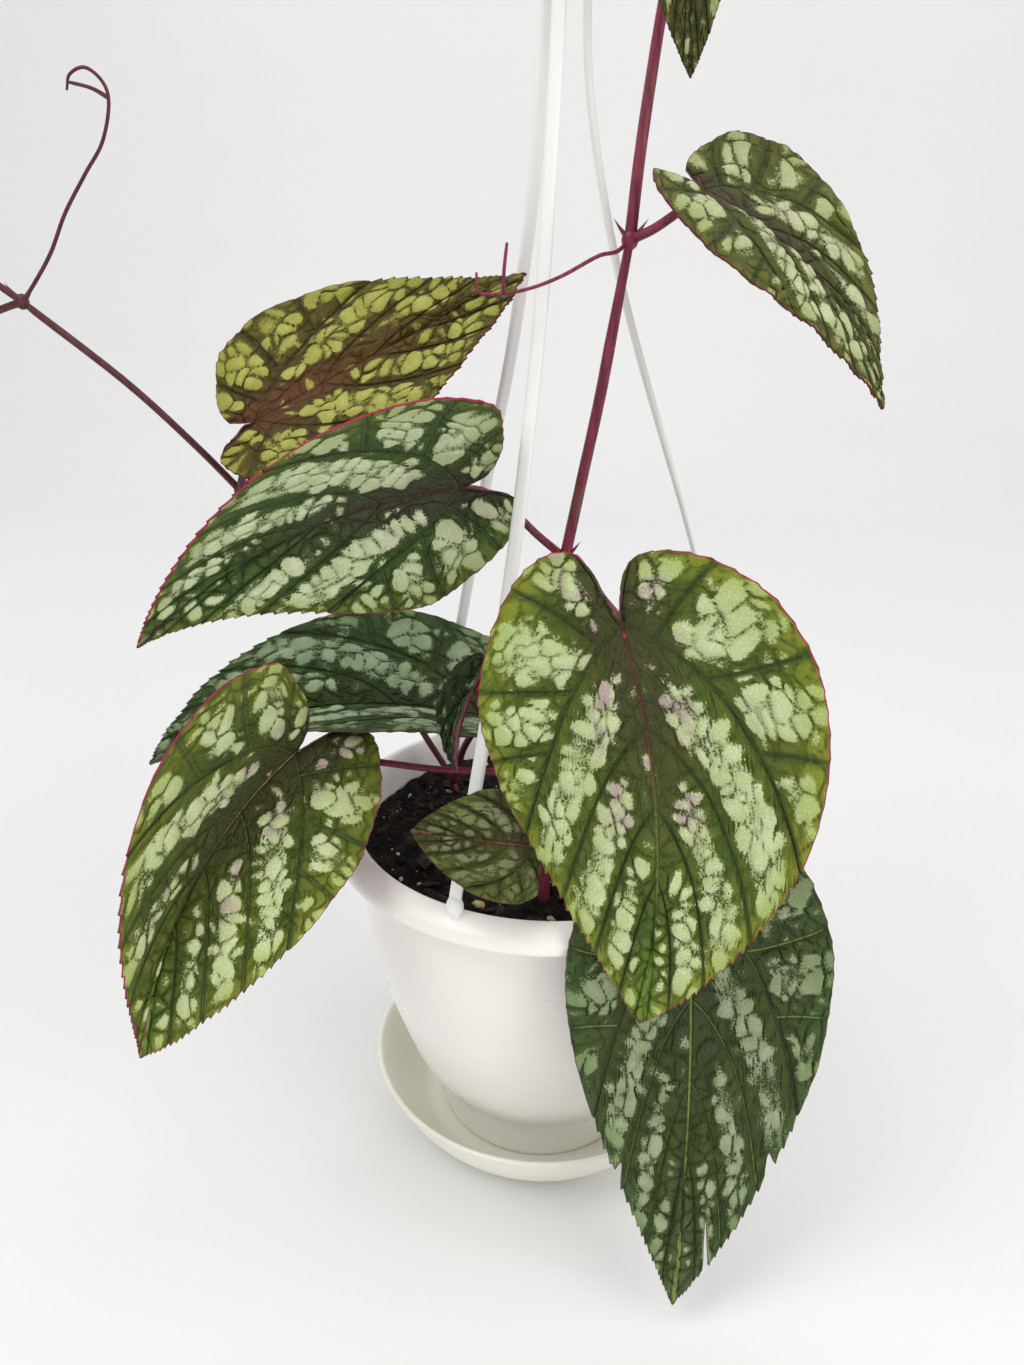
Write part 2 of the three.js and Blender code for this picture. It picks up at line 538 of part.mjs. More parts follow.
function rightVine() {
  const { low, middle, high, top } = RIGHT_NODES;
  const root = [...RIGHT_ROOT, SOIL_LEVEL - PLANTING_DEPTH];
  return geometryOf(joined([
    rod([root, [0, -41, 128], low, [1.5, -22, 180], [3, -11, 212], middle], RIGHT_STEM_RADIUS + 0.3, 8, 14),
    rod([middle, [8.5, -7, 260], [13, -8, 285.5], [16, -9, 306], high], RIGHT_STEM_RADIUS, 8, 10),
    rod([high, [21.4, -9, 354], [25, -7, 386], top, [31, -6, 440], [32, -6, 462]], RIGHT_STEM_RADIUS, 8, 14),
    ...[low, middle, high, top].map((node) => ball(node, RIGHT_STEM_RADIUS + NODE_SWELL)),
    ...stipules(middle, 3.6),
    ...stipules(high, 3.6),
    ...stipules(top, 3),
    petiole([middle, [8, -32, 238], [13, -58, 240]], LEAVES.leaf_front, 8),
    petiole([middle, [-5, -4, 241], [-13, 1, 247], [-23, -3, 255]], LEAVES.leaf_left_mid, 9),
    petiole([low, [14, -42, 158], [30, -56, 160]], LEAVES.leaf_low, 8),
    petiole([[0.8, -29, 163], [-16, -22, 162], [-38, -10, 156], [-63, 0, 153], [-78, -12, 161]],
      LEAVES.leaf_left_low, 11),
    petiole([[0.5, -35, 143], [3, -42, 148], [4.5, -51, 152], [2, -58, 155]], LEAVES.leaf_young, 6),
    petiole([[2, -18, 190], [-5, -16, 200], [-14, -17, 204]], LEAVES.leaf_hanging, 6),
    petiole([high, [26, -13, 334], [32.5, -16, 338.5]], LEAVES.leaf_right_top, 5),
    petiole([top, [29, -4, 424], [29.5, -6, 433]], LEAVES.leaf_top, 6),
    petiole([[32, -6, 459], [32.4, -5, 466]], LEAVES.leaf_shoot, 4),
    tendril([high, [16, -13, 328], [11, -17, 327], [0, -20.4, 321.4], [-8.6, -21, 318.2],
      [-17, -21, 316.6], [-23.4, -20.4, 317], [-23.8, -21, 322]], 22),
    tendril([[-16, -21, 316.8], [-16, -21.6, 322], [-15.2, -22, 330]], 5),
    tendril([top, [33, -3, 424], [41, 0, 436], [44, 2, 450], [40, 2, 458], [37, 1, 453]], 14),
  ]));
}

// Left stem, behind the back leaf and out to the upper left, with its two branches
const LEFT_NODES = { lower: [-109.7, 20, 248], upper: [-165, -3, 311] };

function leftVine() {
  const { lower, upper } = LEFT_NODES;
  const root = [...LEFT_ROOT, SOIL_LEVEL - PLANTING_DEPTH];
  return geometryOf(joined([
    rod([root, [-36.4, 29.4, 126], [-49.5, 40, 144], [-66.4, 51, 166], [-82.6, 57, 189], [-100, 44, 220],
      lower], LEFT_STEM_RADIUS, 6, 20),
    rod([lower, [-120.3, 14, 263], [-138.3, 6, 285], [-162, -2, 308], upper], LEFT_STEM_RADIUS, 6, 10),
    rod([upper, [-170.2, -5, 315.5], [-182, -8, 325]], LEFT_STEM_RADIUS, 6, 5),
    rod([upper, [-172.5, -3, 308.5], [-187, -1, 303]], LEFT_STEM_RADIUS, 6, 5),
    ...[lower, upper].map((node) => ball(node, LEFT_STEM_RADIUS + NODE_SWELL)),
    ...stipules(lower, 4),
    ...stipules(upper, 3.6),
    petiole([[-37, 29.6, 129], [-33, 26, 145]], LEAVES.leaf_left_back, 6),
    petiole([lower, [-106, 14, 256], [-101, 5, 266]], LEAVES.leaf_left_top, 7),
    petiole([[-180, -7.6, 323.6], [-185, -8, 326]], LEAVES.leaf_branch_1, 4),
    petiole([[-184, -1.4, 304], [-190, 2.6, 301.4]], LEAVES.leaf_branch_2, 4),
    tendril([upper, [-161, -4, 315], [-153, -5, 325], [-146.4, -6, 336], [-138.4, -7, 346.5],
      [-131.4, -8, 355.4], [-127.9, -9, 366.6], [-129.7, -9, 370.8], [-133.8, -9, 373.4],
      [-138.2, -9, 371.5], [-139.4, -9, 368]], 30),
    tendril([[-128, -9, 366], [-132, -9.6, 368.2], [-138, -11.4, 369.6]], 5),
  ]));
}

const plant = new THREE.Group();
plant.add(named('saucer', saucer(), creamPlastic));
plant.add(named('pot', pot(), whitePlastic));
STRAPS.forEach((bow, i) => {
  plant.add(named(`hanger_strap_${i + 1}`, strap(bow), whitePlastic));
});
plant.add(named('hanger_hook', hook(), whitePlastic));
plant.add(named('soil', soil(), pottingMix));
plant.add(named('vine_right', rightVine(), maroonStem));
plant.add(named('vine_left', leftVine(), thinStem));
Object.entries(LEAVES).forEach(([name, leaf]) => {
  plant.add(named(name, leafGeometry(leaf), leaf.finish));
});

export default plant;
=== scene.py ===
import math
import random

import bmesh
import bpy
from mathutils import Matrix, Vector, noise


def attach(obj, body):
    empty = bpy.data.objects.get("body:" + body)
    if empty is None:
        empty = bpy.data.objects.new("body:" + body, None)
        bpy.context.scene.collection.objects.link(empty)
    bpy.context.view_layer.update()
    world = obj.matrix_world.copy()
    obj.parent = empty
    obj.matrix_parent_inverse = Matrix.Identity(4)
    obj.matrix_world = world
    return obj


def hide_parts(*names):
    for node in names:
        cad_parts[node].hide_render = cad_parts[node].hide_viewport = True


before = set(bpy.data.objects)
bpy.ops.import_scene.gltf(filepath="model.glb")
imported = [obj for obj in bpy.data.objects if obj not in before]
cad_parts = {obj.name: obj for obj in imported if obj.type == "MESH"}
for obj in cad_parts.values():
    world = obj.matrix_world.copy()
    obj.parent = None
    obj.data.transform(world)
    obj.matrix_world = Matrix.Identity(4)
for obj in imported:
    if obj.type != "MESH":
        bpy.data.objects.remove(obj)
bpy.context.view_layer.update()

# Potted rex begonia vine: every length below is in millimetres until a piece is finished, +Z up, the
# front towards -Y, the origin at the centre of the saucer's underside
MM = 0.001

# The photograph's camera: how far it stands in front of the pot and above the surface, and how it looks
CAMERA_DISTANCE = 344
CAMERA_HEIGHT = 339
CAMERA_YAW = -0.038
CAMERA_PITCH = 23.93
CAMERA_ROLL = 0.71
FOCAL_PIXELS = 1069
IMAGE_HEIGHT = 1365
SENSOR = 36
NEAR_CLIP = 0.02

# Lights: where each stands and what it is aimed at, its width (m) and its power (W)
LIGHTS = {
    "window_left": ((-0.8, -0.5, 1.5), (0, 0, 0.2), 0.9, 7.5),
    "window_right": ((1.1, -0.9, 0.9), (0, 0, 0.2), 1.2, 8.5),
    "sky_above": ((0.1, 0.2, 1.9), (0, 0, 0), 1.6, 5.5),
}
AIR_COLOUR = (1, 0.99, 0.975, 1)
AIR_STRENGTH = 0.68

# The backdrop: half its width, how far the floor goes back, how round it turns up, and its top
SWEEP_HALF = 3000
SWEEP_BACK = 900
SWEEP_BEND = 500
SWEEP_TOP = 2600

# Points per stretch of a turned piece's profile, and steps round it
PROFILE_STEPS = 4
ROUND_STEPS = 128


# Helpers for shapes

def smooth(low, high, value):
    """0 below low, 1 above high and a soft step between them."""
    share = min(max((value - low) / (high - low), 0), 1)
    return share * share * (3 - 2 * share)


def mix(a, b, share):
    return a + (b - a) * share


def curve_between(p1, p2, out, into, t):
    """Point at t on the smooth curve that leaves p1 along out and comes to p2 along into."""
    return (p1 * (2 * t ** 3 - 3 * t ** 2 + 1) + out * (t ** 3 - 2 * t ** 2 + t)
            + p2 * (3 * t ** 2 - 2 * t ** 3) + into * (t ** 3 - t ** 2))


def even_curve(points, position):
    """Point of the smooth curve through the points, position 0 to 1, each stretch as long as the next."""
    last = len(points) - 1
    whole = min(int(position * last), last - 1)
    t = position * last - whole
    p0, p1 = points[max(whole - 1, 0)], points[whole]
    p2, p3 = points[whole + 1], points[min(whole + 2, last)]
    return curve_between(p1, p2, (p2 - p0) * 0.5, (p3 - p1) * 0.5, t)


def bent_line(points, per_stretch):
    """Points along a smooth curve through the given ones, which keeps from swinging out at uneven steps."""
    through = [Vector(point) for point in points]
    first = through[0] * 2 - through[1]
    last = through[-1] * 2 - through[-2]
    through = [first, *through, last]
    line = []
    for p0, p1, p2, p3 in zip(through, through[1:], through[2:], through[3:]):
        d0, d1, d2 = ((b - a).length ** 0.5 for a, b in ((p0, p1), (p1, p2), (p2, p3)))
        out = ((p1 - p0) / d0 - (p2 - p0) / (d0 + d1) + (p2 - p1) / d1) * d1
        into = ((p2 - p1) / d1 - (p3 - p1) / (d1 + d2) + (p3 - p2) / d2) * d1
        line += [curve_between(p1, p2, out, into, step / per_stretch) for step in range(per_stretch)]
    return [*line, through[-2]]


def draped(bm, columns, rows, place):
    """A grid of faces whose corners lie where place(u, v) says, with u and v from 0 to 1."""
    made = bmesh.ops.create_grid(bm, x_segments=columns, y_segments=rows, size=1)["verts"]
    for vert in made:
        vert.co = place((vert.co.x + 1) / 2, (vert.co.y + 1) / 2)


def spun(bm, profile, steps):
    """A profile of (radius, height) turned about the pot's axis."""
    corners = [bm.verts.new((radius, 0, height)) for radius, height in profile]
    edges = [bm.edges.new(pair) for pair in zip(corners, corners[1:])]
    bmesh.ops.spin(bm, geom=corners + edges, cent=(0, 0, 0), axis=(0, 0, 1), angle=math.tau, steps=steps,
                   use_merge=True)


def softened(profile):
    """The profile with more points, on a smooth line through the given ones."""
    return [(max(point.x, 0), point.y) for point in bent_line(profile, PROFILE_STEPS)]


def tube(bm, line, radii, sides, across=None, squareness=2, flatness=1, ribs=0):
    """A rod along the line that closes at both ends; radii are spread evenly over its length.
    across, where given, is the way that the section's width keeps to, flatness its thickness to width."""
    count = len(line) - 1
    headings = [(line[min(i + 1, count)] - line[max(i - 1, 0)]).normalized() for i in range(count + 1)]
    side = across or headings[0].orthogonal()
    frames = []
    for heading in headings:
        side = (side - heading * side.dot(heading)).normalized()
        frames.append((side.copy(), heading.cross(side)))

    def place(u, v):
        row = round(u * (count + 2)) - 1
        i = min(max(row, 0), count)
        width, thick = frames[i]
        spread = i / count * (len(radii) - 1)
        low = min(int(spread), len(radii) - 2)
        radius = mix(radii[low], radii[low + 1], spread - low) if 0 <= row <= count else 0
        angle = math.tau * v
        c, s = math.cos(angle), math.sin(angle)
        reach = (abs(c) ** squareness + abs(s) ** squareness) ** (-1 / squareness)
        reach *= 1 + ribs * math.cos(6 * angle)
        return line[i] + (width * c + thick * (s * flatness)) * (reach * radius)

    draped(bm, count + 2, sides, place)


def rounded(line, radius):
    """The line with a soft end: one more point, half a radius past its last one."""
    heading = (line[-1] - line[-2]).normalized()
    return [*line, line[-1] + heading * radius * 0.5]


def finished(name, bm, finishes, slot, *nodes, weld=0.002):
    """Makes the bmesh a piece of the plant, in place, which rides with it and stands for the nodes."""
    bmesh.ops.remove_doubles(bm, verts=bm.verts, dist=weld)
    bmesh.ops.dissolve_degenerate(bm, dist=weld / 2, edges=bm.edges)
    bmesh.ops.scale(bm, verts=bm.verts, vec=(MM, MM, MM))
    mesh = bpy.data.meshes.new(name)
    bm.to_mesh(mesh)
    bm.free()
    for finish in finishes:
        mesh.materials.append(finish)
    mesh.shade_smooth()
    piece = bpy.data.objects.new(name, mesh)
    bpy.context.scene.collection.objects.link(piece)
    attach(piece, "root")
    if nodes:
        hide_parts(*nodes)
    return piece


# Helpers for materials

def paint(red, green, blue):
    """A colour as it is seen on a screen, 0 to 255, as the shader's own numbers."""
    return (*(mix(value / 12.92, ((value + 0.055) / 1.055) ** 2.4, value > 0.04045)
              for value in (red / 255, green / 255, blue / 255)), 1)


class Wash:
    """A value that changes over a surface; sums on it add the nodes that work it out."""

    def __init__(self, finish, socket):
        self.finish = finish
        self.socket = socket

    def sum(self, operation, *values):
        return self.finish.node("ShaderNodeMath", {"operation": operation}, dict(enumerate(values)))

    def __add__(self, other):
        return self.sum("ADD", self, other)

    def __radd__(self, other):
        return self.sum("ADD", other, self)

    def __sub__(self, other):
        return self.sum("SUBTRACT", self, other)

    def __rsub__(self, other):
        return self.sum("SUBTRACT", other, self)

    def __mul__(self, other):
        return self.sum("MULTIPLY", self, other)

    def __rmul__(self, other):
        return self.sum("MULTIPLY", other, self)

    def __abs__(self):
        return self.sum("ABSOLUTE", self)

    def fract(self):
        return self.sum("FRACT", self)

    def least(self, other):
        return self.sum("MINIMUM", self, other)

    def step(self, low, high, first=0, last=1):
        """first below low, last above high and a soft step between them."""
        return self.finish.node(
            "ShaderNodeMapRange", {"interpolation_type": "SMOOTHSTEP"},
            {"Value": self, "From Min": low, "From Max": high, "To Min": first, "To Max": last})


class Finish:
    """A material, with the nodes of its pattern made one by one."""

    def __init__(self, name, **sockets):
        self.material = bpy.data.materials.new(name)
        self.material.use_nodes = True
        self.tree = self.material.node_tree
        self.shader = self.tree.nodes["Principled BSDF"]
        for socket, value in sockets.items():
            self.shader.inputs[socket.replace("_", " ")].default_value = value

    def node(self, kind, settings=None, inputs=None, output=0):
        made = self.tree.nodes.new(kind)
        for setting, value in (settings or {}).items():
            setattr(made, setting, value)
        for key, value in (inputs or {}).items():
            if isinstance(value, Wash):
                self.tree.links.new(value.socket, made.inputs[key])
            else:
                made.inputs[key].default_value = value
        return Wash(self, made.outputs[output])

    def place(self):
        """Where a point lies on the object, in metres."""
        return self.node("ShaderNodeTexCoord", output="Object")

    def of_mesh(self, layer):
        """The three numbers that the mesh keeps at each corner under the layer's name."""
        if layer == "vein_map":
            vector = self.node("ShaderNodeUVMap", {"uv_map": layer})
        else:
            vector = self.node("ShaderNodeAttribute", {"attribute_name": layer}, output="Vector")
        split = self.node("ShaderNodeSeparateXYZ", inputs={0: vector}).socket.node
        return [Wash(self, socket) for socket in split.outputs]

    def at(self, x, y, z=0.0):
        return self.node("ShaderNodeCombineXYZ", inputs={0: x, 1: y, 2: z})

    def noise(self, vector, scale, detail=3.0, roughness=0.55):
        return self.node("ShaderNodeTexNoise", inputs={
            "Vector": vector, "Scale": scale, "Detail": detail, "Roughness": roughness})

    def cells(self, vector, scale, feature="F1"):
        return self.node("ShaderNodeTexVoronoi", {"feature": feature}, {"Vector": vector, "Scale": scale},
                         "Distance")

    def stretched(self, vector, scale):
        return self.node("ShaderNodeMapping", inputs={"Vector": vector, "Scale": scale})

    def blend(self, factor, under, over):
        """The colour over laid on the colour under where the factor is 1."""
        return self.node("ShaderNodeMix", {"data_type": "RGBA"}, {0: factor, 6: under, 7: over}, 2)

    def feed(self, socket, wash):
        self.tree.links.new(wash.socket, self.shader.inputs[socket])

    def raise_by(self, height, distance):
        """Relief too fine for the mesh; distance is in metres."""
        bump = self.node("ShaderNodeBump", inputs={"Height": height, "Distance": distance, "Strength": 1.0})
        self.feed("Normal", bump)
        return self.material


# Camera, light and floor

def aim_camera():
    yaw, pitch, roll = CAMERA_YAW, math.radians(CAMERA_PITCH), math.radians(CAMERA_ROLL)
    ahead = Vector((math.sin(yaw) * math.cos(pitch), math.cos(yaw) * math.cos(pitch), -math.sin(pitch)))
    level = ahead.cross(Vector((0, 0, 1))).normalized()
    above = level.cross(ahead)
    right = level * math.cos(roll) + above * math.sin(roll)
    up = above * math.cos(roll) - level * math.sin(roll)
    data = bpy.data.cameras.new("camera")
    data.sensor_width = SENSOR
    data.lens = FOCAL_PIXELS / IMAGE_HEIGHT * SENSOR
    data.clip_start = NEAR_CLIP
    camera = bpy.data.objects.new("camera", data)
    turn = Matrix((right, up, -ahead)).transposed().to_4x4()
    camera.matrix_world = Matrix.Translation(Vector((0, -CAMERA_DISTANCE, CAMERA_HEIGHT)) * MM) @ turn
    bpy.context.scene.collection.objects.link(camera)
    bpy.context.scene.camera = camera


def soft_light(name, place, aim, size, power):
    data = bpy.data.lights.new(name, "AREA")
    data.shape = "DISK"
    data.size = size
    data.energy = power
    light = bpy.data.objects.new(name, data)
    light.location = place
    light.rotation_euler = (Vector(aim) - Vector(place)).to_track_quat("-Z", "Y").to_euler()
    bpy.context.scene.collection.objects.link(light)


def studio():
    """A pale floor that curves up behind into a pale wall, and soft light from all round."""
    sweep = Finish("studio_paper", Roughness=0.9, Specular_IOR_Level=0.1)
    tint = sweep.noise(sweep.place(), 1.2, 1.0)
    sweep.feed("Base Color", sweep.blend(tint.step(0.3, 0.7), paint(232, 233, 234), paint(238, 238, 238)))
    line = [(-SWEEP_HALF, 0), (0, 0), (SWEEP_BACK, 0)]
    for angle in (0.2, 0.5, 0.8, 1.1, 1.4, math.pi / 2):
        line.append((SWEEP_BACK + SWEEP_BEND * math.sin(angle), SWEEP_BEND * (1 - math.cos(angle))))
    line.append((SWEEP_BACK + SWEEP_BEND, SWEEP_TOP))
    rows = len(line) - 1
    bm = bmesh.new()
    draped(bm, 1, rows, lambda u, v: Vector((mix(-SWEEP_HALF, SWEEP_HALF, u), *line[round(v * rows)])))
    bmesh.ops.scale(bm, verts=bm.verts, vec=(MM, MM, MM))
    mesh = bpy.data.meshes.new("studio_sweep")
    bm.to_mesh(mesh)
    bm.free()
    mesh.materials.append(sweep.material)
    mesh.shade_smooth()
    floor = bpy.data.objects.new("studio_sweep", mesh)
    bpy.context.scene.collection.objects.link(floor)
    world = bpy.data.worlds.new("studio_air")
    world.use_nodes = True
    air = world.node_tree.nodes["Background"]
    air.inputs["Color"].default_value = AIR_COLOUR
    air.inputs["Strength"].default_value = AIR_STRENGTH
    bpy.context.scene.world = world
    for name, light in LIGHTS.items():
        soft_light(name, *light)


# Saucer, pot and hanger

# Each profile is a list of (radius, height) from its own axis
SAUCER_PROFILE = [
    (0, 0), (46, 0), (47.8, 0.2), (49.2, 1.4), (55.3, 8), (61.4, 17.5), (65, 25.5), (66, 27.5), (65.9, 28.1),
    (65.1, 28.4), (64.2, 27.8), (62.8, 25.2), (59, 17.8), (53, 9.2), (47.2, 4.1), (44.8, 3.3),
    (42, 3.2), (0, 3.2),
]
POT_FLOOR = 5.7
POT_WALL = [(39, 3.5), (40.6, 19), (43.4, 23), (50.4, 34), (56.2, 50), (62.3, 70), (67.1, 95), (69.4, 128)]
POT_PROFILE = [
    (0, 3.5), (37.5, 3.5), *POT_WALL, (70, 131), (70.8, 132.2), (72.5, 131.8), (75, 130), (77.2, 128.9),
    (78.4, 129.4), (78.6, 130.6), (78, 132.7), (75.2, 135.2), (72.2, 136.8), (70.8, 137), (69.8, 136.2),
    (68.6, 134), (67.2, 128), (64.9, 96), (60.1, 71), (54, 51), (48.2, 35), (41.2, 24), (38.4, 19.5),
    (36.8, 7), (35.6, POT_FLOOR), (0, POT_FLOOR),
]
EYE_CIRCLE = 73.4
HUB_BOTTOM = 408
HUB_PROFILE = [(0, 0), (9, 0), (10, 0.8), (10, 4.6), (8.6, 7), (5.6, 12), (3.8, 20), (3.2, 22), (0, 22.2)]
# The hook's line as (out, up) from its foot inside the hub, its radii along the line, and its end's
HOOK_FOOT = HUB_BOTTOM + 14
HOOK_LINE = [(0, 0), (0, 16), (-6, 24), (-12.5, 33), (-13, 43), (-8, 51.5), (0.5, 55), (9, 51.5), (13.5, 43),
             (12, 34)]
HOOK_RADII = [2.6] * 19 + [2.2]
HOOK_END = 2.4
STRAP_RADII = [2.0, 2.15, 2.15, 2.15]
STRAP_SQUARENESS = 3.6
STRAP_FLATNESS = 0.5
KNOB_PROFILE = [(0, 125.8), (1.2, 126), (1.7, 126.8), (1.7, 136.2), (1.9, 137.2), (2.5, 137.8), (2.8, 138.8),
                (2.8, 140), (2.5, 141.2), (1.9, 142.4), (0.9, 143), (0, 143.1)]
# Each strap's way from the pot's axis (degrees) and its line as (radius, height), up to the hub
STRAPS = {
    "hanger_strap_1": (-142, [(58, 187), (37, 258), (25, 296), (15, 341), (11, 373), (9.4, 391),
                              (7.5, 407.7)]),
    "hanger_strap_2": (-22, [(62, 166), (49, 198), (34.5, 234), (22.5, 276), (14, 315), (10, 349),
                             (6.6, 385), (6, 407.7)]),
    "hanger_strap_3": (98, [(61, 193), (47, 238), (34, 274), (25, 299), (15, 331), (6.6, 372), (5, 407.7)]),
}


def moulded_plastic(name, pale, shade, gloss):
    """Smooth moulded plastic with faint flow marks, a little dirt and a soft gloss."""
    finish = Finish(name, IOR=1.5)
    place = finish.place()
    clouds = finish.noise(place, 28.0, 3.0)
    specks = finish.cells(place, 420.0).step(0.03, 0.09, 1, 0) * finish.noise(place, 60.0).step(0.58, 0.7)
    colour = finish.blend(clouds.step(0.35, 0.75) * 0.6, pale, shade)
    finish.feed("Base Color", finish.blend(specks * 0.06, colour, paint(150, 138, 120)))
    scuffs = finish.noise(place, 60.0, 2.0)
    finish.feed("Roughness", scuffs.step(0.3, 0.8, gloss - 0.01, gloss + 0.03))
    return finish.raise_by(scuffs * 0.3 + clouds, 0.000006)


def round_piece(name, profile, finish, slot):
    """The saucer or the pot, turned about the pot's axis."""
    bm = bmesh.new()
    spun(bm, softened(profile), ROUND_STEPS)
    bmesh.ops.remove_doubles(bm, verts=bm.verts, dist=0.002)
    bmesh.ops.recalc_face_normals(bm, faces=bm.faces)
    return finished(f"{name}_shell", bm, [finish], slot, name)


def hanger_strap(node, azimuth, bow, finish):
    """A ribbon with rounded edges from its knob and peg in the rim's eye up to the hub."""
    turn = Matrix.Rotation(math.radians(azimuth - 90), 3, "Z")
    flat = bent_line([(EYE_CIRCLE - 0.2, 0, 139.5), (EYE_CIRCLE - 0.4, 0, 142), (70.6, 0, 148),
                      *((out, 0, up) for out, up in bow)], 8)
    bm = bmesh.new()
    tube(bm, [turn @ point for point in flat], STRAP_RADII, 20, across=turn @ Vector((0, 1, 0)),
         squareness=STRAP_SQUARENESS, flatness=STRAP_FLATNESS)
    peg = bmesh.new()
    spun(peg, KNOB_PROFILE, 24)
    bmesh.ops.translate(peg, verts=peg.verts, vec=(EYE_CIRCLE, 0, 0))
    bmesh.ops.rotate(peg, verts=peg.verts, cent=(0, 0, 0), matrix=turn)
    joined(bm, peg)
    bmesh.ops.recalc_face_normals(bm, faces=bm.faces)
    return finished(f"{node}_ribbon", bm, [finish], "hanger_plastic", node)


def joined(bm, other):
    """Adds the other bmesh to this one."""
    mesh = bpy.data.meshes.new("part")
    other.to_mesh(mesh)
    other.free()
    bm.from_mesh(mesh)
    bpy.data.meshes.remove(mesh)


def hanger_hook(finish):
    """The hub that takes the straps' upper ends, and the open hook above it."""
    bm = bmesh.new()
    spun(bm, softened([(radius, HUB_BOTTOM + height) for radius, height in HUB_PROFILE]), 48)
    curl = bent_line([(out, 0, HOOK_FOOT + up) for out, up in HOOK_LINE], 8)
    tube(bm, rounded(curl, HOOK_END), HOOK_RADII, 20)
    bmesh.ops.recalc_face_normals(bm, faces=bm.faces)
    return finished("hanger_hook_and_hub", bm, [finish], "hanger_plastic", "hanger_hook")


# Potting mix

SOIL_LEVEL = 124
SOIL_REACH = 66.4
# Where each stem stands, and how far round its middle no lump may lie
STEM_FEET = [(0, -42, 2.6), (-36, 29, 2.2)]
# Rings of corners on the mix's top, and corners in each
SOIL_RINGS = 90
SOIL_SECTORS = 220
# What lies on the mix: three colours, how many, smallest and largest radius, flatness, random seed, sink
STREWN = {
    "bark_chips": ((30, 23, 18), (72, 54, 41), (112, 94, 74), 420, (0.7, 3.4), 0.45, 5, 0.35),
    "dark_crumbs": ((14, 12, 11), (38, 32, 28), (60, 50, 42), 1100, (0.5, 2.2), 0.7, 8, 0.5),
    "tan_bits": ((176, 160, 112), (206, 194, 146), (120, 96, 66), 34, (0.6, 2.2), 0.6, 21, 0.35),
    "perlite": ((205, 200, 190), (235, 232, 224), (170, 150, 125), 110, (0.35, 1.5), 0.85, 13, 0.35),
}


def soil_height(x, y):
    """How high the potting mix stands: the uneven top of the solid, with small crumbs on it."""
    uneven = math.sin(0.21 * x + 0.7) * math.cos(0.17 * y) + 0.6 * math.sin(0.43 * x - 0.37 * y)
    edge = smooth(SOIL_REACH, SOIL_REACH - 6, math.hypot(x, y))
    crumbs = noise.noise(Vector((x, y, 3)) * 0.35) * 1.1 + noise.noise(Vector((x, y, 9)) * 0.9) * 0.8
    return SOIL_LEVEL + 1.5 * uneven * edge + crumbs + 0.6


def potting_mix_finish():
    """Near-black mix with browner clods and fibres."""
    finish = Finish("potting_mix", Specular_IOR_Level=0.3)
    place = finish.place()
    crumbs = finish.noise(place, 900.0, 5.0, 0.7)
    clods = finish.noise(place, 220.0, 3.0)
    dark = finish.blend(crumbs.step(0.35, 0.75), paint(9, 8, 8), paint(30, 26, 23))
    colour = finish.blend(clods.step(0.55, 0.75) * 0.6, dark, paint(62, 48, 38))
    fibres = finish.noise(finish.stretched(place, (3, 0.4, 1)), 900.0, 2.0)
    finish.feed("Base Color", finish.blend(fibres.step(0.68, 0.72), colour, paint(92, 76, 60)))
    finish.feed("Roughness", clods.step(0.3, 0.7, 0.95, 0.7))
    return finish.raise_by(crumbs + clods, 0.0012)


def chip_finish(name, dark, light, dust):
    """Grained lumps with dust on them."""
    finish = Finish(name, Specular_IOR_Level=0.3, Roughness=0.85)
    place = finish.place()
    grain = finish.noise(finish.stretched(place, (1, 5, 2)), 420.0, 4.0)
    colour = finish.blend(grain.step(0.3, 0.7), dark, light)
    finish.feed("Base Color", finish.blend(finish.noise(place, 700.0).step(0.6, 0.75), colour, dust))
    return finish.raise_by(grain, 0.0006)


def strewn(name, dark, light, dust, count, sizes, flatness, seed, sink):
    """Small lumps of one kind, strewn over the potting mix."""
    finish = chip_finish(name, paint(*dark), paint(*light), paint(*dust))
    draw = random.Random(seed)
    bm = bmesh.new()
    for _ in range(count):
        angle = draw.uniform(0, math.tau)
        reach = (SOIL_REACH - 3) * math.sqrt(draw.random())
        x, y = reach * math.cos(angle), reach * math.sin(angle)
        size = mix(*sizes, draw.random() ** 2.5)
        shape = [draw.uniform(0.7, 1.5), draw.uniform(0.7, 1.1), flatness * draw.uniform(0.7, 1.3)]
        turn = (Matrix.Rotation(draw.uniform(0, math.tau), 4, "Z")
                @ Matrix.Rotation(draw.uniform(-0.6, 0.6), 4, "X")
                @ Matrix.Rotation(draw.uniform(-0.4, 0.4), 4, "Y"))
        jitter = [draw.uniform(0.75, 1.2) for _ in range(12)]
        if any(math.hypot(x - foot_x, y - foot_y) < foot + size for foot_x, foot_y, foot in STEM_FEET):
            continue
        place = Matrix.Translation((x, y, soil_height(x, y) + size * shape[2] * (0.6 - sink)))
        lump = bmesh.ops.create_icosphere(bm, subdivisions=1, radius=size)["verts"]
        for vert, stretch in zip(lump, jitter):
            vert.co *= stretch
        bmesh.ops.transform(bm, verts=lump, matrix=place @ turn @ Matrix.Diagonal((*shape, 1)))
    piece = finished(name, bm, [finish], "potting_mix")
    piece.data.shade_flat()


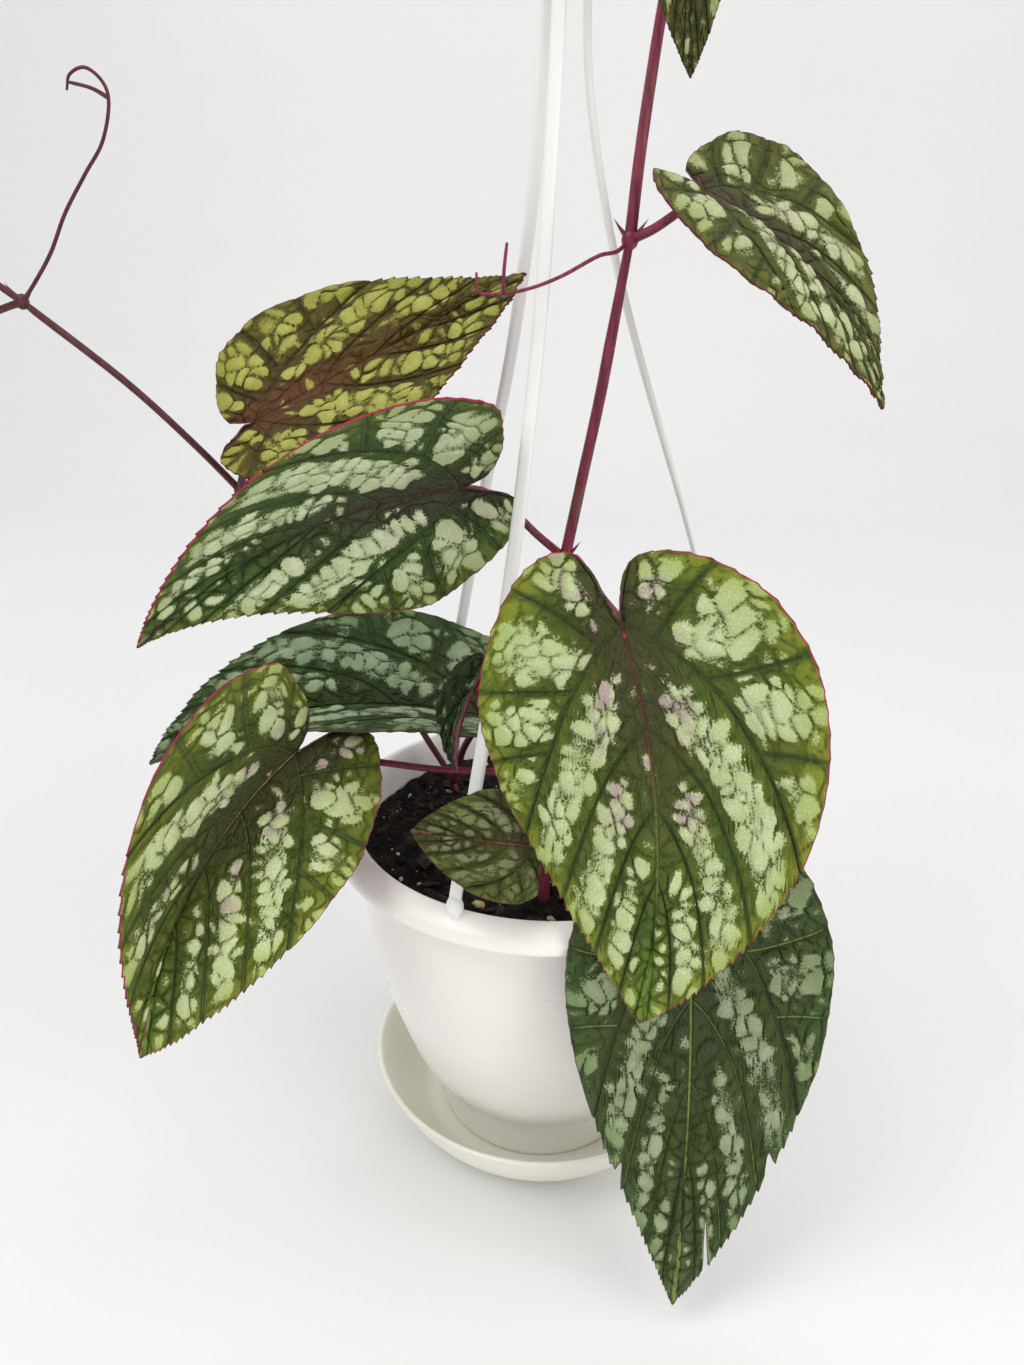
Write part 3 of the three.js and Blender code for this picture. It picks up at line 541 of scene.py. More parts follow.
def potting_mix():
    """Fills the pot: an uneven top with lumps strewn on it, kept clear of the stems, and a plain side and
    bottom.
    """
    side = [(SOIL_REACH, SOIL_LEVEL - 1), (64.3, 96), (59.5, 71), (53.4, 51), (47.6, 35), (40.6, 24.4),
            (37.8, 20), (36.2, 6.3), (0, 6.3)]

    def place(u, v):
        ring = round(u * (SOIL_RINGS + len(side)))
        angle = math.tau * v
        if ring <= SOIL_RINGS:
            radius = SOIL_REACH * ring / SOIL_RINGS
            x, y = radius * math.cos(angle), radius * math.sin(angle)
            return Vector((x, y, soil_height(x, y)))
        radius, height = side[ring - SOIL_RINGS - 1]
        return Vector((radius * math.cos(angle), radius * math.sin(angle), height))

    bm = bmesh.new()
    draped(bm, SOIL_RINGS + len(side), SOIL_SECTORS, place)
    bmesh.ops.remove_doubles(bm, verts=bm.verts, dist=0.002)
    bmesh.ops.recalc_face_normals(bm, faces=bm.faces)
    finished("soil_bed", bm, [potting_mix_finish()], "potting_mix", "soil")
    for name, lumps in STREWN.items():
        strewn(name, *lumps)


# Stems, petioles and tendrils

TENDRIL_RADII = [0.65, 0.6, 0.55, 0.5]


def stem_finish(name, red, dull, green):
    """Ridged, waxy stem: maroon with duller streaks and a greener tone in places."""
    finish = Finish(name, IOR=1.45, Coat_Roughness=0.35)
    place = finish.place()
    streaks = finish.noise(finish.stretched(place, (1, 1, 0.12)), 900.0, 3.0)
    patches = finish.noise(place, 34.0, 2.0)
    colour = finish.blend(streaks.step(0.35, 0.7), red, dull)
    finish.feed("Base Color", finish.blend(patches.step(0.5, 0.72) * 0.55, colour, green))
    finish.feed("Roughness", streaks.step(0.3, 0.7, 0.42, 0.6))
    return finish.raise_by(streaks, 0.00025)


def stem(bm, points, radii, sides=14, ribs=0.05, per_stretch=10):
    """A stretch of stem through the points, ribbed along its length."""
    line = bent_line(points, per_stretch)
    tube(bm, rounded(line, radii[-1]), [*radii, radii[-1], radii[-1] * 0.7], sides, ribs=ribs)


def swelling(bm, point, radius):
    """The thicker joint at a node."""
    made = bmesh.ops.create_icosphere(bm, subdivisions=3, radius=radius)["verts"]
    bmesh.ops.scale(bm, verts=made, vec=(1, 1, 1.15))
    bmesh.ops.translate(bm, verts=made, vec=point)


def stipules(bm, point, size):
    """A pair of pointed scales at a node."""
    for side in (-1, 1):
        lean = Vector((side * 0.78, 0, 0.62))
        base = Vector(point)
        line = [base + lean * (size * step) + Vector((0, 0, 0.15 * size * step * step)) for step in
                (0.1, 0.4, 0.8, 1.2, 1.6, 1.9)]
        tube(bm, line, [0.5 * size, 0.52 * size, 0.42 * size, 0.28 * size, 0.12 * size, 0.03], 12,
             across=Vector((0, 1, 0)), flatness=0.45)


def tendril(bm, points):
    stem(bm, points, TENDRIL_RADII, sides=10, ribs=0, per_stretch=8)


# Leaves

# Outline of one half blade from the notch round the back lobe to the tip, as shares of the half width
# and of the length: a broad leaf and a slender one
BROAD_HALF = [
    (0.015, 0), (0.05, -0.085), (0.13, -0.175), (0.3, -0.195), (0.55, -0.145), (0.82, -0.01), (0.97, 0.14),
    (1, 0.28), (0.965, 0.43), (0.87, 0.58), (0.71, 0.72), (0.5, 0.84), (0.25, 0.94), (0, 1),
]
SLENDER_HALF = [
    (0.015, 0), (0.05, -0.075), (0.14, -0.15), (0.32, -0.165), (0.58, -0.115), (0.83, -0.01), (0.97, 0.1),
    (1, 0.21), (0.93, 0.36), (0.76, 0.52), (0.54, 0.67), (0.31, 0.81), (0.12, 0.925), (0, 1),
]
# Side veins are counted from the notch at the petiole to the tip: those up to the basal vein leave its
# outer side, the others leave the midrib
VEINS = 10
BASAL_VEIN = 5
FIRST_VEIN = 0.5
LAST_VEIN_START = 0.96
MARGIN_SPREAD = 1.7
START_SPREAD = 0.85
BRANCH_SPREAD = 1.35
BLADE_THICKNESS = 0.6
CELL_SIZE = 5.8
CELL_DEPTH = 0.34
# Grid corners per side vein and from the midrib to the edge, and how far the teeth reach
LARGE_GRID = (20, 56)
SMALL_GRID = (10, 24)
LARGE_TEETH = 0.03
SMALL_TEETH = 0.04
TEETH_PER_VEIN = 5
# How high the pillows, the cells on them and the slow waves of a blade stand
PILLOW_RISE = 0.8
CELL_RISE = 0.95
WAVE_RISE = 0.9
# How far the silver's edge is torn
FEATHER_REACH = 3.2

# Each leaf as the solid has it: where its petiole joins, its tip, the way its face looks, half widths
# (right, left), arch and bow of the midrib, folds and curls of the halves (degrees), size of the back
# lobes, how slender the halves are, and how high its pillows stand
LEAVES = {
    "leaf_front": dict(
        base=(18.8, -78.5, 238.5), tip=(29.8, -93.5, 118.6), faces=(-0.33, -0.94, 0.09),
        widths=(50, 49), arch=-3, bow=-6.6, folds=(-12, -2), curls=(20, 11), lobes=(1, 0.8),
        slender=(0.4, 0.55), relief=1.5),
    "leaf_low": dict(
        base=(44, -73, 150), tip=(46, -103, 10), faces=(0.11, -0.96, 0.21), widths=(39, 45), arch=-1.8,
        bow=-3.1, folds=(-1, -1), curls=(-1, 0), lobes=(1, 1.19), slender=(0.85, 0.65), relief=1.2),
    "leaf_left_low": dict(
        base=(-84, -33.4, 172.8), tip=(-120, -100.3, 103.8), faces=(0.52, -0.73, 0.44), widths=(44, 41),
        arch=9, bow=12, folds=(39, 27), curls=(-2, 10), lobes=(0.5, 1.12), slender=(1.2, 0.12),
        relief=1.4),
    "leaf_left_back": dict(
        base=(-26, 18.4, 163.6), tip=(-147, 0.4, 148.6), faces=(-0.06, -0.37, 0.93), widths=(37, 36),
        arch=16, bow=1, folds=(36, 33), curls=(-14, -4), lobes=(1, 1), slender=(0.47, 0.3), relief=1.4),
    "leaf_left_mid": dict(
        base=(-30, -12, 258), tip=(-119, -63, 222), faces=(0.39, -0.88, 0.26), widths=(44, 35),
        arch=3.4, bow=9.4, folds=(45, -12), curls=(20, 9), lobes=(0.5, 1.19), slender=(0.8, 1.2),
        relief=1.4),
    "leaf_left_top": dict(
        base=(-95, -3, 276), tip=(-10, -5, 321), faces=(-0.35, -0.69, 0.64), widths=(37, 35), arch=-5,
        bow=-5.7, folds=(8, 1), curls=(-7, 17), lobes=(0.84, 0.55), slender=(0.24, 1.2), relief=1.3),
    "leaf_right_top": dict(
        base=(39, -17, 344), tip=(90, -38, 289), faces=(0.54, -0.48, 0.69), widths=(29, 29), arch=6,
        bow=-6, folds=(19, 10), curls=(-43, 20), lobes=(0.87, 0.58), slender=(0, 1.19), relief=1),
    "leaf_top": dict(
        base=(28, -15, 434), tip=(33, -18, 371), faces=(-0.1, -0.9, 0.4), widths=(15, 15), arch=3,
        bow=0, folds=(18, 18), curls=(-10, -10), lobes=(1, 1), slender=(0.6, 0.6), relief=0.7,
        small=True),
    "leaf_young": dict(
        base=(-4.5, -64, 159.9), tip=(-39.9, -70, 167.6), faces=(0.27, -0.78, 0.56), widths=(16.2, 18),
        arch=8, bow=-0.8, folds=(2, 4), curls=(-6, 8), lobes=(0.5, 0.4), slender=(0.19, 0.42), relief=1,
        small=True),
    "leaf_hanging": dict(
        base=(-22.5, -24.5, 199.3), tip=(-30.3, -26.2, 165), faces=(-0.85, -0.5, 0.2), widths=(10, 10),
        arch=3, bow=0, folds=(40, 40), curls=(-12, -12), lobes=(1, 1), slender=(0.5, 0.5), relief=0.7,
        small=True),
    "leaf_shoot": dict(
        base=(33, -9, 466), tip=(44, -22, 438), faces=(0.3, -0.75, 0.6), widths=(9, 9), arch=3, bow=0,
        folds=(25, 25), curls=(0, 0), lobes=(1, 1), slender=(0.8, 0.8), relief=0.5, small=True),
    "leaf_branch_1": dict(
        base=(-190, -11, 326), tip=(-222, -34, 296), faces=(-0.4, -0.75, 0.55), widths=(15, 15), arch=4,
        bow=2, folds=(16, 16), curls=(0, 0), lobes=(1, 1), slender=(0.7, 0.7), relief=0.7, small=True),
    "leaf_branch_2": dict(
        base=(-196, 2, 300), tip=(-212, -14, 280), faces=(-0.5, -0.6, 0.6), widths=(8, 8), arch=0.5,
        bow=0, folds=(22, 22), curls=(0, 0), lobes=(1, 1), slender=(0.8, 0.8), relief=0.4, small=True),
}


class Blade:
    """The curved face of one leaf."""

    def __init__(self, base, tip, faces, widths, arch, bow, folds, curls, lobes, slender, relief,
                 small=False):
        self.base = Vector(base)
        along = Vector(tip) - self.base
        self.length = along.length
        self.along = along.normalized()
        up = Vector(faces)
        self.up = (up - self.along * up.dot(self.along)).normalized()
        self.right = self.along.cross(self.up)
        self.widths = widths
        self.bend = self.up * arch + self.right * bow
        self.folds = [math.radians(fold) for fold in folds]
        self.curls = [math.radians(curl or 0.01) for curl in curls]
        self.lobes = lobes
        self.slender = slender
        self.relief = relief
        self.small = small
        self.per_vein, self.columns = SMALL_GRID if small else LARGE_GRID
        self.teeth = SMALL_TEETH if small else LARGE_TEETH
        self.cell = CELL_SIZE * (0.6 if small else 1)
        self.margins = [self.margin(half) for half in (0, 1)]

    def margin(self, half):
        line = []
        for (x, y), (slim_x, slim_y) in zip(BROAD_HALF, SLENDER_HALF):
            forward = mix(y, slim_y, self.slender[half])
            lobe = self.lobes[half] if forward < 0 else 1
            line.append(Vector((mix(x, slim_x, self.slender[half]), forward * lobe)))
        return line

    def point(self, across, forward, raised):
        half = 1 if across < 0 else 0
        ahead = max(forward, 0)
        lift = 4 * (ahead * (1 - ahead) + min(forward, 0))
        slope = 4 * (1 - 2 * ahead)
        rib = self.base + self.along * (self.length * forward) + self.bend * lift
        heading = (self.along * self.length + self.bend * slope).normalized()
        out_of_face = (self.up - heading * self.up.dot(heading)).normalized()
        outward = heading.cross(out_of_face)
        fold, curl, width = self.folds[half], self.curls[half], self.widths[half]
        turn = fold + curl * abs(across)
        sideways = (math.sin(turn) - math.sin(fold)) * width / curl
        rise = (math.cos(fold) - math.cos(turn)) * width / curl
        return rib + outward * math.copysign(sideways, across) + out_of_face * (rise + raised)

    def vein_place(self, half, vein, out, branch=False):
        """Flat place on a half blade: out runs along a side vein from the midrib to the edge, or for a
        branch from the basal vein to the edge."""
        end = even_curve(self.margins[half], 1 - max(1 - vein / VEINS, 0) ** MARGIN_SPREAD)
        if branch:
            start_across, start = self.vein_place(half, BASAL_VEIN, branch_start(vein, self.columns))
        else:
            start_across, start = 0, LAST_VEIN_START * (vein / BASAL_VEIN - 1) ** START_SPREAD
        back = smooth(-0.12, 0.12, -end.y)
        turn_across = start_across + (end.x - start_across) * mix(0.66, 0.4, back)
        turn_forward = start + (end.y - start) * mix(0.22, 0.6, back)
        near, middle, far = (1 - out) ** 2, 2 * out * (1 - out), out ** 2
        return (near * start_across + middle * turn_across + far * end.x,
                near * start + middle * turn_forward + far * end.y)


def branch_start(vein, columns):
    """How far along the basal vein a branch leaves it, always at one of its grid's corners."""
    return round(columns * (max(vein - 1, 0) / (BASAL_VEIN - 1)) ** BRANCH_SPREAD) / columns


def tooth(vein, per_vein):
    """How far the edge stands out: small forward-pointing teeth."""
    share = vein * per_vein % 1
    return share ** 2.2 if share < 0.9 else (1 - share) * 8


def half_blade(bm, layers, blade, side, branch, seed, scars):
    """One grid of a leaf: from the midrib to the edge, or the branch part outside the basal vein."""
    half = 0 if side > 0 else 1
    first, last = (FIRST_VEIN, BASAL_VEIN) if branch else (BASAL_VEIN, VEINS)
    rows, columns = round((last - first) * blade.per_vein), blade.columns
    width = blade.widths[half]
    flat = {}
    for row in range(rows + 1):
        vein = mix(first, last, row / rows)
        reach = blade.teeth * (tooth(vein, TEETH_PER_VEIN) - 0.3)
        for scar_side, scar_vein, scar_width, depth in scars:
            if scar_side == side:
                reach -= depth * smooth(scar_width, scar_width * 0.3, abs(vein - scar_vein))
        for column in range(columns + 1):
            out = column / columns
            across, forward = blade.vein_place(half, vein, out * (1 + reach * out ** 7), branch)
            flat[row, column] = Vector((across * width, forward * blade.length))
    made = bmesh.ops.create_grid(bm, x_segments=rows, y_segments=columns, size=1)["verts"]
    where = {vert: (round((vert.co.x + 1) / 2 * rows), round((vert.co.y + 1) / 2 * columns))
             for vert in made}
    known = {}
    for vert, (row, column) in where.items():
        spot, out = flat[row, column], column / columns
        vein = mix(first, last, row / rows)
        run = (spot - flat[row, 0]).length
        span = (flat[min(row + 1, rows), column] - flat[max(row - 1, 0), column]).length
        span *= blade.per_vein / (min(row + 1, rows) - max(row - 1, 0))
        bent = noise.noise(Vector((spot.x * 0.1, spot.y * 0.1, seed))) * 0.6
        near, next_near = noise.voronoi(Vector((
            spot.x / blade.cell + bent, spot.y / blade.cell - bent, seed + side * 5)))[0][:2]
        cell = min((next_near - near) / CELL_DEPTH, 1.6)
        pillow = math.sin(math.pi * (vein % 1)) ** (0.5 if blade.small else 0.7)
        ramp = smooth(0, 0.3, out) * (1 - 0.5 * out ** 4)
        raised = (blade.relief * PILLOW_RISE + CELL_RISE * smooth(0, 0.9, cell)) * ramp * pillow
        wave = noise.noise(Vector((spot.x * 0.07, spot.y * 0.07, seed + side * 2)))
        raised += WAVE_RISE * wave * smooth(0, 12, spot.x)
        vert.co = blade.point(side * spot.x / width, spot.y / blade.length, raised)
        known[vert] = ((vein / VEINS, 0.5 + side * out / 2), (span, run, spot.x),
                       (cell, (flat[row, columns] - spot).length, spot.length))
    faces = {face for vert in made for face in vert.link_faces}
    for face in faces:
        for loop in face.loops:
            loop[layers[0]].uv, loop[layers[1]], loop[layers[2]] = known[loop.vert]
    if side > 0:
        bmesh.ops.reverse_faces(bm, faces=list(faces))


def leaf_piece(name, slot, finishes, scars):
    """A blade with quilted relief between its veins and a toothed edge.
    scars are bites out of the edge: side, vein, width in veins, depth as a share."""
    blade = Blade(**LEAVES[name])
    bm = bmesh.new()
    layers = (bm.loops.layers.uv.new("vein_map"), bm.loops.layers.float_vector.new("leaf_spans"),
              bm.loops.layers.float_vector.new("leaf_cells"))
    for side in (1, -1):
        for branch in (True, False):
            half_blade(bm, layers, blade, side, branch, sum(map(ord, name)), scars)
    piece = finished(f"{name}_blade", bm, finishes, slot, name, weld=0.003)
    thickness = piece.modifiers.new("thickness", "SOLIDIFY")
    thickness.thickness = BLADE_THICKNESS * MM
    thickness.offset = 0
    thickness.material_offset = 1
    return piece


def leaf_finish(name, kind):
    """The upper face: silver cells in the bands between the side veins, green round the veins, a dull
    heart along the midrib, a bright band inside the crimson edge."""
    look = {key: paint(*value) if isinstance(value, tuple) else value for key, value in kind.items()}
    finish = Finish(name, IOR=1.45, Sheen_Weight=0.04, Sheen_Roughness=0.4, Specular_IOR_Level=0.3)
    place = finish.place()
    u, v, _ = finish.of_mesh("vein_map")
    span, run, rib = finish.of_mesh("leaf_spans")
    cell, rim, base = finish.of_mesh("leaf_cells")
    vein = u * VEINS
    out = abs(v - 0.5) * 2
    side = (v - 0.5).step(-0.001, 0.001)
    band = vein.fract()
    from_vein = band.least(1 - band) * span
    basal = u.step(0.499, 0.501)
    from_basal = run + basal * 50
    from_line = from_vein.least(from_basal)
    feather = finish.noise(place, 1500.0, 4.0, 0.8)
    flecks = finish.noise(place, 1400.0, 3.0, 0.6)
    drift = finish.noise(finish.at(vein * 0.9, run * 0.07, side * 7 + look["seed"]), 1.0, 2.0)
    blotch = finish.noise(place, 150.0, 3.0)

    heart = rib.step(look["heart_from"], look["heart_to"], 1, 0) * base.step(15.0, 85.0, 1, 0)
    off_centre = abs(band - 0.5) * 2
    bare = (off_centre.step(look["coverage"] - 0.1, look["coverage"] + 0.45) * 1.2
            + (rib + u.step(0.6, 1.0) * 5).step(look["bare_rib"], look["bare_rib"] + 6, 1.2, 0)
            + from_basal.step(1.5, 4.5, 0.8, 0)
            + rim.step(1.0, 7.0, look.get("rim_loss", 0.5), 0) + (0.5 - drift) * 0.7 + look["sparse"])
    edge = cell - bare + (feather - 0.5) * FEATHER_REACH * look["ragged"]
    silver = edge.step(0.0, 0.22) * from_line.step(0.5, 1.0)

    beside = from_line.step(0.3, 2.4, 1, 0)
    rind = rim.step(1.0, 13.0, 1, 0)
    field = finish.blend(drift.step(0.35, 0.65), look["field"], look["field_2"])
    field = finish.blend(rind * (0.5 + drift * 0.7), field, look["rim"])
    field = finish.blend(beside * 0.75, field, look["by_vein"])
    field = finish.blend(heart * (0.6 + blotch * 0.6), field, look["heart"])
    field = finish.blend(u.step(0.8, 0.97) * 0.45, field, look["tip"])
    field = finish.blend(u.step(0.93, 0.995) * look.get("tip_strength", 0.8), field, look["tip"])
    # Darker towards the cells' edges: partly the leaf's own dark green network, partly painted shade in the
    # creases between the raised pillows
    field = finish.blend(cell.step(0.0, 0.35, 1, 0) * (0.45 + out * 0.3), field, look["by_vein"])
    field = finish.blend(flecks.step(0.5, 0.8) * 0.3, field, look["fleck"])

    pale = finish.blend(blotch.step(0.35, 0.65), look["silver"], look["silver_2"])
    pale = finish.blend(rind * 0.8, pale, look["silver_rim"])
    pale = finish.blend(edge.step(0.05, 0.6, 0.25, 0), pale, look["silver_rim"])
    tint = rib.step(9.0, 19.0, 1, 0) * finish.noise(place, 190.0, 2.0).step(0.45, 0.6)
    tint = tint * base.step(50.0, 75.0, 1, 0) * look["pink"]
    pale = finish.blend(tint, pale, look["pink_tint"])
    pale = finish.blend(flecks.step(0.55, 0.75) * 0.25, pale, look["by_vein"])
    colour = finish.blend(silver * look.get("silver_strength", 0.96), field, pale)
    lines = from_line.step(0.16, 0.42, 1, 0) * out.step(0.0, 0.05)
    colour = finish.blend(lines * rim.step(0.5, 4.0), colour, look["vein"])
    ribs = finish.blend(base.step(20.0, 80.0), look["midrib"], look["midrib_tip"])
    colour = finish.blend(rib.step(0.2, 0.45, 1, 0), colour, ribs)
    colour = finish.blend(rim.step(0.15, 0.45, 1, 0), colour, look["edge"])
    finish.feed("Base Color", colour)
    finish.feed("Roughness", silver.step(0, 1, 0.5, 0.4) + flecks * 0.12)
    net = finish.cells(place, 800.0, "DISTANCE_TO_EDGE").step(0.0, 0.15)
    relief = (net * 0.15 + from_line.step(0.0, 1.2) + cell.step(0.0, 0.5) + rib.step(0.0, 1.0)
              + flecks * 0.12 + silver * 0.1)
    return finish.raise_by(relief, 0.0008)


def underside_finish(name, purple, vein_colour, green):
    """The lower face: purple-red with the veins standing out paler."""
    finish = Finish(name, IOR=1.45, Sheen_Weight=0.15, Specular_IOR_Level=0.4)
    place = finish.place()
    u, _, _ = finish.of_mesh("vein_map")
    span, run, rib = finish.of_mesh("leaf_spans")
    band = (u * VEINS).fract()
    from_vein = (band.least(1 - band) * span).least(rib).least(run + u.step(0.499, 0.501) * 50)
    mottle = finish.noise(place, 120.0, 3.0)
    colour = finish.blend(mottle.step(0.35, 0.75), purple, green)
    colour = finish.blend(from_vein.step(0.3, 0.9, 0.8, 0), colour, vein_colour)
    finish.feed("Base Color", colour)
    finish.feed("Roughness", mottle.step(0.3, 0.7, 0.5, 0.62))
    return finish.raise_by(from_vein.step(0.0, 1.2, 1, 0) + finish.noise(place, 1500.0) * 0.1, 0.0005)


# Colours and pattern of each kind of leaf: how wide the silver is across a band, how sparse and ragged,
# and from which to which distance from the midrib (mm) the dull heart fades out
FRONT_LOOK = dict(
    slot="silver_green_leaf", seed=1.0, coverage=0.46, sparse=0.02, ragged=0.75, bare_rib=4.0,
    heart_from=7.0, heart_to=20.0, pink=0.75, field=(76, 96, 30), field_2=(96, 108, 30),
    by_vein=(60, 82, 25), heart=(66, 64, 32), rim=(138, 148, 42), tip=(120, 172, 52),
    fleck=(120, 138, 60), silver=(196, 210, 150), silver_2=(210, 222, 172), silver_rim=(168, 188, 96),
    pink_tint=(186, 152, 164), vein=(50, 72, 36), midrib=(104, 44, 54), midrib_tip=(108, 132, 50),
    edge=(168, 44, 78))
LOW_LOOK = dict(
    slot="dark_leaf", seed=2.0, coverage=0.38, sparse=0.12, ragged=0.9, bare_rib=4.0, heart_from=4.0,
    heart_to=15.0, pink=0.0, rim_loss=0.3, field=(54, 68, 28), field_2=(66, 80, 28), by_vein=(46, 60, 24),
    heart=(48, 62, 34), rim=(62, 86, 38), tip=(150, 166, 118), fleck=(92, 108, 48),
    silver=(144, 160, 118), silver_2=(162, 176, 138), silver_rim=(116, 136, 84),
    pink_tint=(160, 150, 140), vein=(104, 130, 56), midrib=(128, 146, 70), midrib_tip=(136, 148, 70),
    edge=(96, 74, 62), tip_strength=0.7)
LEFT_LOW_LOOK = dict(
    FRONT_LOOK, seed=3.0, coverage=0.42, sparse=0.08, heart=(62, 60, 30), midrib=(168, 128, 100),
    midrib_tip=(150, 130, 90), field=(70, 86, 28), rim=(122, 130, 42), vein=(90, 96, 50),
    silver_rim=(168, 184, 92), edge=(160, 50, 76))
MID_LOOK = dict(
    FRONT_LOOK, seed=4.0, coverage=0.52, sparse=0.0, bare_rib=3.0, heart=(62, 56, 44), field=(58, 84, 34),
    field_2=(72, 94, 34), rim=(98, 116, 40), by_vein=(48, 72, 30), silver=(196, 210, 160),
    silver_2=(212, 224, 182), silver_rim=(168, 184, 116), pink=0.25, heart_from=4.0, heart_to=15.0,
    midrib=(88, 52, 54), midrib_tip=(84, 70, 54), tip=(150, 176, 120), vein=(72, 92, 58))
BACK_LOOK = dict(
    LOW_LOOK, seed=5.0, coverage=0.5, sparse=0.1, bare_rib=3.0, silver=(146, 168, 130),
    silver_2=(168, 188, 152), midrib=(64, 86, 46), midrib_tip=(64, 86, 46), vein=(52, 76, 38),
    rim=(60, 86, 40), field=(52, 80, 38))
TOP_LOOK = dict(
    FRONT_LOOK, slot="olive_leaf", seed=6.0, coverage=0.58, sparse=0.08, ragged=0.4, rim_loss=0.2,
    bare_rib=3.0, heart_from=2.0, heart_to=17.0, pink=0.0, field=(78, 70, 16), field_2=(92, 84, 20),
    by_vein=(60, 52, 14), heart=(92, 50, 18), rim=(104, 100, 26), fleck=(112, 110, 46),
    silver=(164, 166, 74), silver_2=(180, 182, 94), silver_rim=(144, 146, 52), vein=(70, 60, 22),
    midrib=(100, 44, 36), midrib_tip=(96, 58, 36), tip=(112, 98, 52), edge=(112, 44, 40))
RIGHT_LOOK = dict(
    FRONT_LOOK, slot="olive_leaf", seed=7.0, sparse=0.05, bare_rib=1.5, heart_from=2.0, heart_to=10.0,
    pink=0.2, field=(74, 84, 28), field_2=(90, 96, 32), by_vein=(60, 72, 28), heart=(66, 54, 40),
    rim=(100, 102, 36), fleck=(104, 110, 56), silver=(180, 190, 138), silver_2=(198, 204, 160),
    silver_rim=(152, 164, 96), vein=(60, 64, 26), midrib=(84, 54, 48), midrib_tip=(76, 66, 40),
    edge=(112, 48, 52))
YOUNG_LOOK = dict(
    FRONT_LOOK, slot="olive_leaf", seed=8.0, coverage=0.5, sparse=0.1, bare_rib=0.5, heart_from=1.0,
    heart_to=6.0, pink=0.3, silver_strength=0.5, field=(74, 88, 38), field_2=(88, 100, 42),
    by_vein=(58, 70, 26), heart=(72, 66, 30), rim=(90, 100, 42), fleck=(108, 116, 66),
    silver=(138, 142, 98), silver_2=(150, 152, 112), silver_rim=(110, 120, 60), vein=(80, 76, 34),
    midrib=(124, 80, 56), midrib_tip=(116, 104, 56), edge=(104, 78, 48), tip=(118, 126, 74))


def leaves():
    """Every leaf: an upper face for each look, and one lower face for all."""
    purple = underside_finish("underside_purple", paint(112, 52, 70), paint(140, 84, 90), paint(104, 72, 62))
    looks = {
        "leaf_front": FRONT_LOOK, "leaf_low": LOW_LOOK, "leaf_left_low": LEFT_LOW_LOOK,
        "leaf_left_back": BACK_LOOK, "leaf_left_mid": MID_LOOK, "leaf_left_top": TOP_LOOK,
        "leaf_right_top": RIGHT_LOOK, "leaf_top": RIGHT_LOOK, "leaf_young": YOUNG_LOOK,
        "leaf_hanging": BACK_LOOK, "leaf_shoot": YOUNG_LOOK, "leaf_branch_1": RIGHT_LOOK,
        "leaf_branch_2": YOUNG_LOOK,
    }
    bites = {"leaf_low": [(-1, 7.5, 0.1, 0.36), (-1, 5.7, 0.12, 0.05), (1, 5.8, 0.12, 0.05)]}
    upper = {}
    for name, look in looks.items():
        if look["seed"] not in upper:
            upper[look["seed"]] = leaf_finish(f"{name}_upper", look)
        leaf_piece(name, look["slot"], [upper[look["seed"]], purple], bites.get(name, ()))


# The stems as the solids have them, with each petiole's end taken on to the rib under its blade

RIGHT_NODES = {
    "low": (0.5, -34, 148), "middle": (4, -7, 234.5), "high": (19.7, -10, 331), "top": (29, -6, 414),
}
LEFT_NODES = {"lower": (-109.7, 20, 248), "upper": (-165, -3, 311)}
PETIOLE_RADII = [1.45, 1.35, 1.3, 1.3, 1.3, 1.25, 1.0, 0.5]
RIB_STEPS = 24


def petiole(bm, points, leaf):
    """A petiole through the points to its leaf's base, and the rib that goes on under the blade."""
    blade = Blade(**LEAVES[leaf])
    under = blade.base - blade.up * 1.5 + blade.along
    ends = [under, blade.point(0, 5 / blade.length, -0.9), blade.point(0, 0.16, -0.6)]
    line = bent_line([*points, *ends], 10)
    tube(bm, line, PETIOLE_RADII, 14, ribs=0.04)
    rib = [blade.point(0, 0.1 + 0.84 * step / RIB_STEPS, -0.55) for step in range(RIB_STEPS + 1)]
    size = 0.5 if blade.small else 0.85
    tube(bm, rib, [size, size * 0.75, size * 0.4, 0.15], 10)


